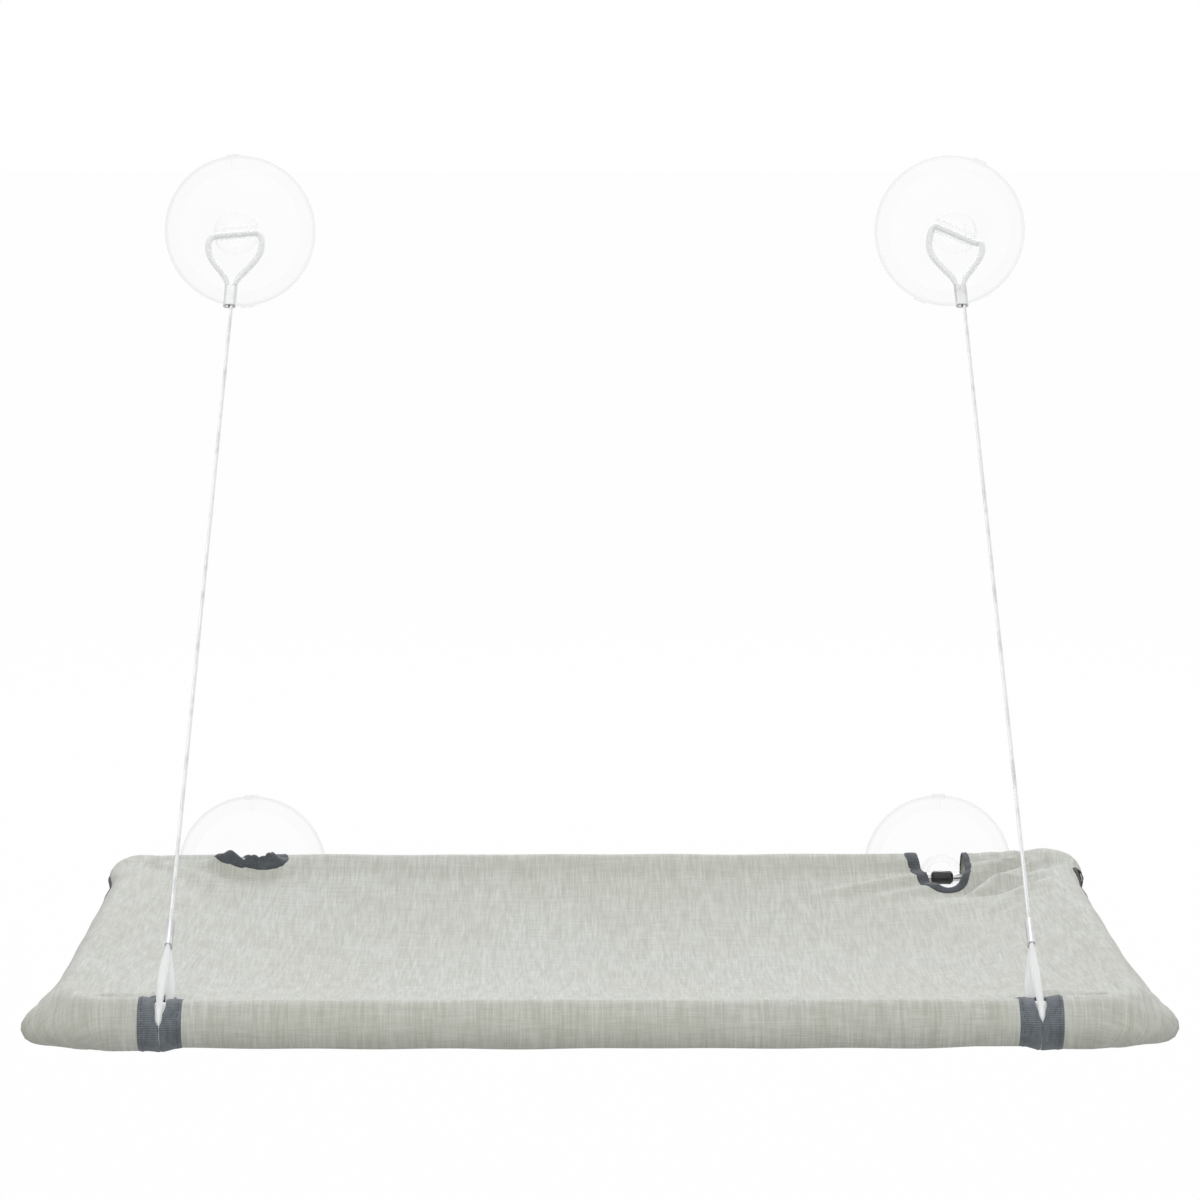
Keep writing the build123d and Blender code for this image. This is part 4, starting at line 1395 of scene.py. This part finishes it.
def stitched(name, line, closed, thread):
    """A row of stitches along a line of points, as one plain mesh."""
    last = len(line) if closed else len(line) - 1
    edges = [(i, (i + 1) % len(line)) for i in range(last)]
    data = bpy.data.meshes.new(name)
    data.from_pydata([tuple(p) for p in np.asarray(line) * MM], edges, [])
    made = bpy.data.objects.new(name, data)
    bpy.context.collection.objects.link(made)
    modifier = made.modifiers.new("stitches", "NODES")
    modifier.node_group = STITCHES
    values = {"Pitch": PITCH * MM, "Length": STITCH * MM,
              "Thickness": THREAD_THICKNESS * MM, "Thread": thread}
    for title, value in values.items():
        modifier[STITCH_INPUTS[title]] = value
    bake(made)
    print(name, len(made.data.polygons), "faces of stitches")
    return made


SEAM_BEFORE_EDGE = 0.8
SEAM_FLAT = RUN_TO_ROLL + ROLL * ROLL_END
_, _, spots, normals, _ = ring_plan(4.0, 12)
row = spots + normals * (SEAM_FLAT - SEAM_BEFORE_EDGE)
seam = stitched("cover_seam_stitches", cover_point(row[:, 0], row[:, 1], 0.03), True, THREAD)
join_platform(seam)

# %% [markdown]
# ## Bound edges
# Every opening is bound with tape that is folded over the cut edge. A bevel on the cloth couldn't
# give the tape its own finish and its own thickness. So a band is swept along the edge: its cross
# section is a low hump that starts inside the cloth, rises, lies flat over the tape's width and
# goes back in. Each point asks the cover's function for its place and its outward direction, so
# the band follows every fold. A slow ripple keeps it from looking moulded.

# %% The band along an edge
# The band's cross section: the share of its width, and the share of its height off the cloth
SECTION = ((0.0, -1.0), (0.0, -0.2), (0.02, 0.45), (0.1, 0.85), (0.3, 1.0), (0.6, 1.0), (0.85, 0.85),
           (0.96, 0.45), (1.0, -0.1), (1.0, -1.0))


def surface_normals(place, a, b):
    """Outward directions of a surface function at flat points."""
    h = 0.25
    da = place(a + h, b) - place(a - h, b)
    db = place(a, b + h) - place(a, b - h)
    normal = np.cross(da, db)
    size = np.linalg.norm(normal, axis=-1, keepdims=True)
    return normal / np.where(size > 1e-9, size, 1)


def facing_out(made):
    """Turns all faces of a closed mesh outwards."""
    shell = bmesh.new()
    shell.from_mesh(made.data)
    bmesh.ops.recalc_face_normals(shell, faces=shell.faces)
    shell.to_mesh(made.data)
    shell.free()
    return made


def edge_band(name, place, path, off, width, proud, closed):
    """A tape folded over a cloth edge: path is the edge in flat points, off points off the hole."""
    path, off = np.asarray(path, float), np.asarray(off, float)
    n, rows = len(path), len(SECTION)
    width = np.broadcast_to(np.asarray(width, float), (n,))
    way = np.concatenate([[0], np.cumsum(np.linalg.norm(np.diff(path, axis=0), axis=1))])
    ripple = 0.12 * np.sin(way / 2.3) + 0.1 * np.sin(way / 5.1 + 1)
    points, uv = [], []
    for out, rise in SECTION:
        spot = path + off * (out * width)[:, None]
        normal = surface_normals(place, spot[:, 0], spot[:, 1])
        height = rise * proud + (ripple * proud if rise > 0.9 else 0)
        points.append(place(spot[:, 0], spot[:, 1]) + normal * np.reshape(height, (-1, 1)))
        uv.append(np.stack([out * width, way], axis=1))
    faces = []
    for r in range(rows):
        near, far = r * n, (r + 1) % rows * n
        for k in range(n if closed else n - 1):
            m = (k + 1) % n
            faces.append((near + k, near + m, far + m, far + k))
    if not closed:
        faces.append(tuple(r * n for r in range(rows)))
        faces.append(tuple(r * n + n - 1 for r in range(rows))[::-1])
    return facing_out(mesh_object(name, np.concatenate(points), faces, np.concatenate(uv)))


def sew_down(name, path, off, width, closed):
    """A row of stitches on a tape, near its far edge."""
    width = np.asarray(width, float)
    share = np.minimum(0.8, 1 - 0.8 / np.maximum(width, 1.0))
    spot = np.asarray(path) + np.asarray(off) * (share * width)[:, None]
    sewn = stitched(name, cover_point(spot[:, 0], spot[:, 1], 0.46), closed, DARK_THREAD)
    join_platform(sewn)


# %% [markdown]
# ## Front slots
# Each slot runs from the top of the front roll round to its underside. It is open where the sleeves
# go in and closes over them at the roll's front, so its half width is a function of the place
# along it. The tape is widest at the sides and gets narrower round the slot's ends.

# %% Slot tapes
TAPE_STEP = 1.2
SLOT_PROUD = 0.45
TAPE_PROUD = 0.5


def rounded_loop(x, low, high, half, turn, step, closing=None):
    """A closed loop round a slit in flat points, with the direction off the slit at each point.

    closing narrows the slit: it gives the share of the half width left at a flat y.
    """
    share = closing or (lambda y: 1.0)
    points, off = [], []
    for y in np.arange(low + turn, high - turn, step):
        points.append((x + half * share(y), y))
        off.append((1, 0))
    for middle, start in ((high - turn, 0.0), (low + turn, math.pi)):
        width = half * share(middle)
        if start:
            for y in np.arange(high - turn, low + turn, -step):
                points.append((x - half * share(y), y))
                off.append((-1, 0))
        for k in range(9):
            angle = start + math.pi * k / 8
            points.append((x + width * math.cos(angle), middle + turn * math.sin(angle)))
            off.append((math.cos(angle), math.sin(angle)))
    return points, off


def slit_share(y):
    """The slit is open where the sleeves go in and closes over them round the roll's front."""
    angle = ROLL_START - (y - FRONT_STRAIGHT + RUN_TO_ROLL) / ROLL
    return 1.0 - 0.985 * float(smooth(0.55, 1.3, angle))


slot_end = FRONT_STRAIGHT - SEAM_FLAT - (SLOT_BOTTOM - SHEET_INSET)
for name, side in SIDES.items():
    path, off = rounded_loop(side * ROPE_X, slot_end, FRONT_Y + SLOT_TOP, SLOT_WIDTH / 2, 2.5,
                             TAPE_STEP, slit_share)
    outer = SLOT_WIDTH / 2 + SLOT_TAPE
    width = [(outer - abs(x - side * ROPE_X)) * (1 - 0.45 * abs(oy))
             for (x, _), (_, oy) in zip(path, off)]
    band = edge_band("slot_tape_" + name, cover_point, path, off, width, SLOT_PROUD, True)
    dress(band, BINDING)
    join_platform(band, "front_slot_binding_" + name)
    sew_down("slot_stitches_" + name, path, off, width, True)

# %% [markdown]
# ## Rear cut-outs
# The tape of a cut-out follows its U, and both arms go on round the rear roll to its underside.
# The left tape is the broader one. Both get narrower where they turn over the roll, and a second
# tape binds the cut in the bottom panel.

# %% Cut-out tapes
ARM_END = 3.0
TAPE_WIDTHS = {"left": (6.6, 0.4), "right": (4.8, 1.4)}
LOWER_TAPE = 4.0


def arm_shares(ys, regained):
    """The share of the tape's width along an arm: narrower over the roll, with some regained."""
    return [(0.42 + 0.58 * float(smooth(-16, -32, y))) * (1 + regained * float(smooth(-34, -24, y)))
            for y in ys]


arm_flat = REAR_STRAIGHT + RUN_TO_ROLL + ROLL * (ARM_END - ROLL_START)
for name, side in SIDES.items():
    arm = list(np.arange(arm_flat, ROD_Y - 5.0, -TAPE_STEP))
    path, off = notch_path(side, NOTCH_HALF, NOTCH_REACHES[name], arm)
    broadest, lean = TAPE_WIDTHS[name]
    arc = [broadest - lean * ox * side for ox, _ in off[len(arm):-len(arm)]]
    first, last = arm_shares(arm, 0.3 if side > 0 else 0.0), arm_shares(arm, 0.0)
    width = [arc[0] * share for share in first] + arc + [arc[-1] * share for share in reversed(last)]
    hem = edge_band("cutout_tape_" + name, cover_point, path, off, width, TAPE_PROUD, False)
    dress(hem, CUTOUT_TAPE)
    join_platform(hem, "rear_notch_binding_" + name)
    sew_down("cutout_stitches_" + name, path, off, width, False)

    low_arm = list(np.arange(ROD_Y + 1.0, ROD_Y - 5.0, -TAPE_STEP))
    path, off = notch_path(side, NOTCH_WIDTH / 2, BOTTOM_NOTCH_REACH, low_arm, False)
    low_hem = edge_band("lower_cutout_tape_" + name, bottom_point, path, off, LOWER_TAPE,
                        -TAPE_PROUD, False)
    dress(low_hem, CUTOUT_TAPE)
    join_platform(low_hem)

# %% [markdown]
# ## Rear corner openings
# Each rear corner has a bound mouth in its side, through which the end of the rod can be reached.
# The mouth's outline is a long round-ended loop along the side roll. The right one gapes at its
# rear end, as the photo shows, so its points there move up the roll.

# %% Opening tapes
GAPE = 1.5
TRIM = 2.3

opening_flat = STRAIGHT_X + RUN_TO_ROLL + ROLL * (math.pi / 2 - ROLL_START)
loop, turned = rounded_loop(0, OPENING_REAR - OPENING_LENGTH, OPENING_REAR, OPENING_HEIGHT / 2, 3.0,
                            TAPE_STEP)
for name, side in SIDES.items():
    mouth = []
    for px, py in loop:
        gapes = side > 0 and px < 0
        more = GAPE * float(smooth(OPENING_REAR - 20, OPENING_REAR - 4, py)) if gapes else 0
        mouth.append((side * (opening_flat + px * (1 + more)), py))
    off = [(side * ox, oy) for ox, oy in turned]
    trim = edge_band("opening_tape_" + name, cover_point, mouth, off, TRIM, TAPE_PROUD, True)
    # Its near-black tone is painted shade for the dark inside of the mouth
    dress(trim, OPENING_SHADE_TAPE)
    join_platform(trim, "corner_opening_binding_" + name)

# %% [markdown]
# ## The closure under the rear edge
# Such a cover comes off for washing. It closes under the rear edge, where a flap with a loop strip
# is pressed on a hook strip. The three layers lie on each other, so each is a rectangle of the
# bottom panel, dropped a little further than the last and given its own thickness. The photo
# doesn't show them, so they are the usual build.

# %% Closure layers
STRIP_HALF = 150.0
FLAP_REAR = ROD_Y - SHEET_INSET
STRIP_LINES = (FLAP_REAR - 7, FLAP_REAR - 23)
FLAP_LINES = (ROD_Y + 4, FLAP_REAR - 30)


def under_strip(name, lines, drop, depth):
    """A layer under the bottom panel from a rear line to a front line."""
    xs = np.linspace(-STRIP_HALF, STRIP_HALF, 101)
    ys = np.linspace(*lines, 14)
    gx, gy = (part.ravel() for part in np.meshgrid(xs, ys))
    wave = 0.12 * np.sin(gx / 11) * np.sin(gy / 7)
    lower = bottom_point(gx, gy)
    lower[:, 2] -= drop - wave * (depth * 0.5)
    made = mesh_object(name, lower, grid_faces(len(ys), len(xs)), np.stack([gx, gy], axis=1))
    return thicken(made, depth, 1.0)


LAYERS = (
    ("hook_strip", STRIP_LINES, 0.1, 0.65, HOOKS, "fastening_tape", "closure_hook_strip"),
    ("loop_strip", STRIP_LINES, 0.85, 0.65, LOOPS, "fastening_tape", "closure_loop_strip"),
    ("flap_cloth", FLAP_LINES, 1.65, 0.75, LINEN, "cover_cloth", "closure_flap"),
)
for name, lines, drop, depth, material, slot, node in LAYERS:
    layer = under_strip(name, lines, drop, depth)
    dress(layer, material)
    join_platform(layer, node)

# %% [markdown]
# ## Finishes of the pieces that stay as they are
# The cups, tubes, corners, bushes, spacers, ferrules, rod and screws already have their right
# shape in the CAD model. Only their finish is missing, and it goes by the start of the node's
# name, so that left and right share a row.

# %% Finishes by name
STAYING = {
    "suction_cup": CUP,
    "upper_ferrule": FERRULE,
    "lower_ferrule": FERRULE,
    "rod_bush": BLACK,
    "rear_corner": BLACK,
    "rear_spacer": WHITE,
    "front_corner": WHITE,
    "front_tube": PAINTED,
    "side_tube": PAINTED,
    "rear_rod": ROD,
    "frame_screws": SCREW,
}
finished = 0
for node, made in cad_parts.items():
    for start, material in STAYING.items():
        if node.startswith(start):
            made.data.materials.clear()
            made.data.materials.append(material)
            finished += 1
print(finished, "nodes have their finish")
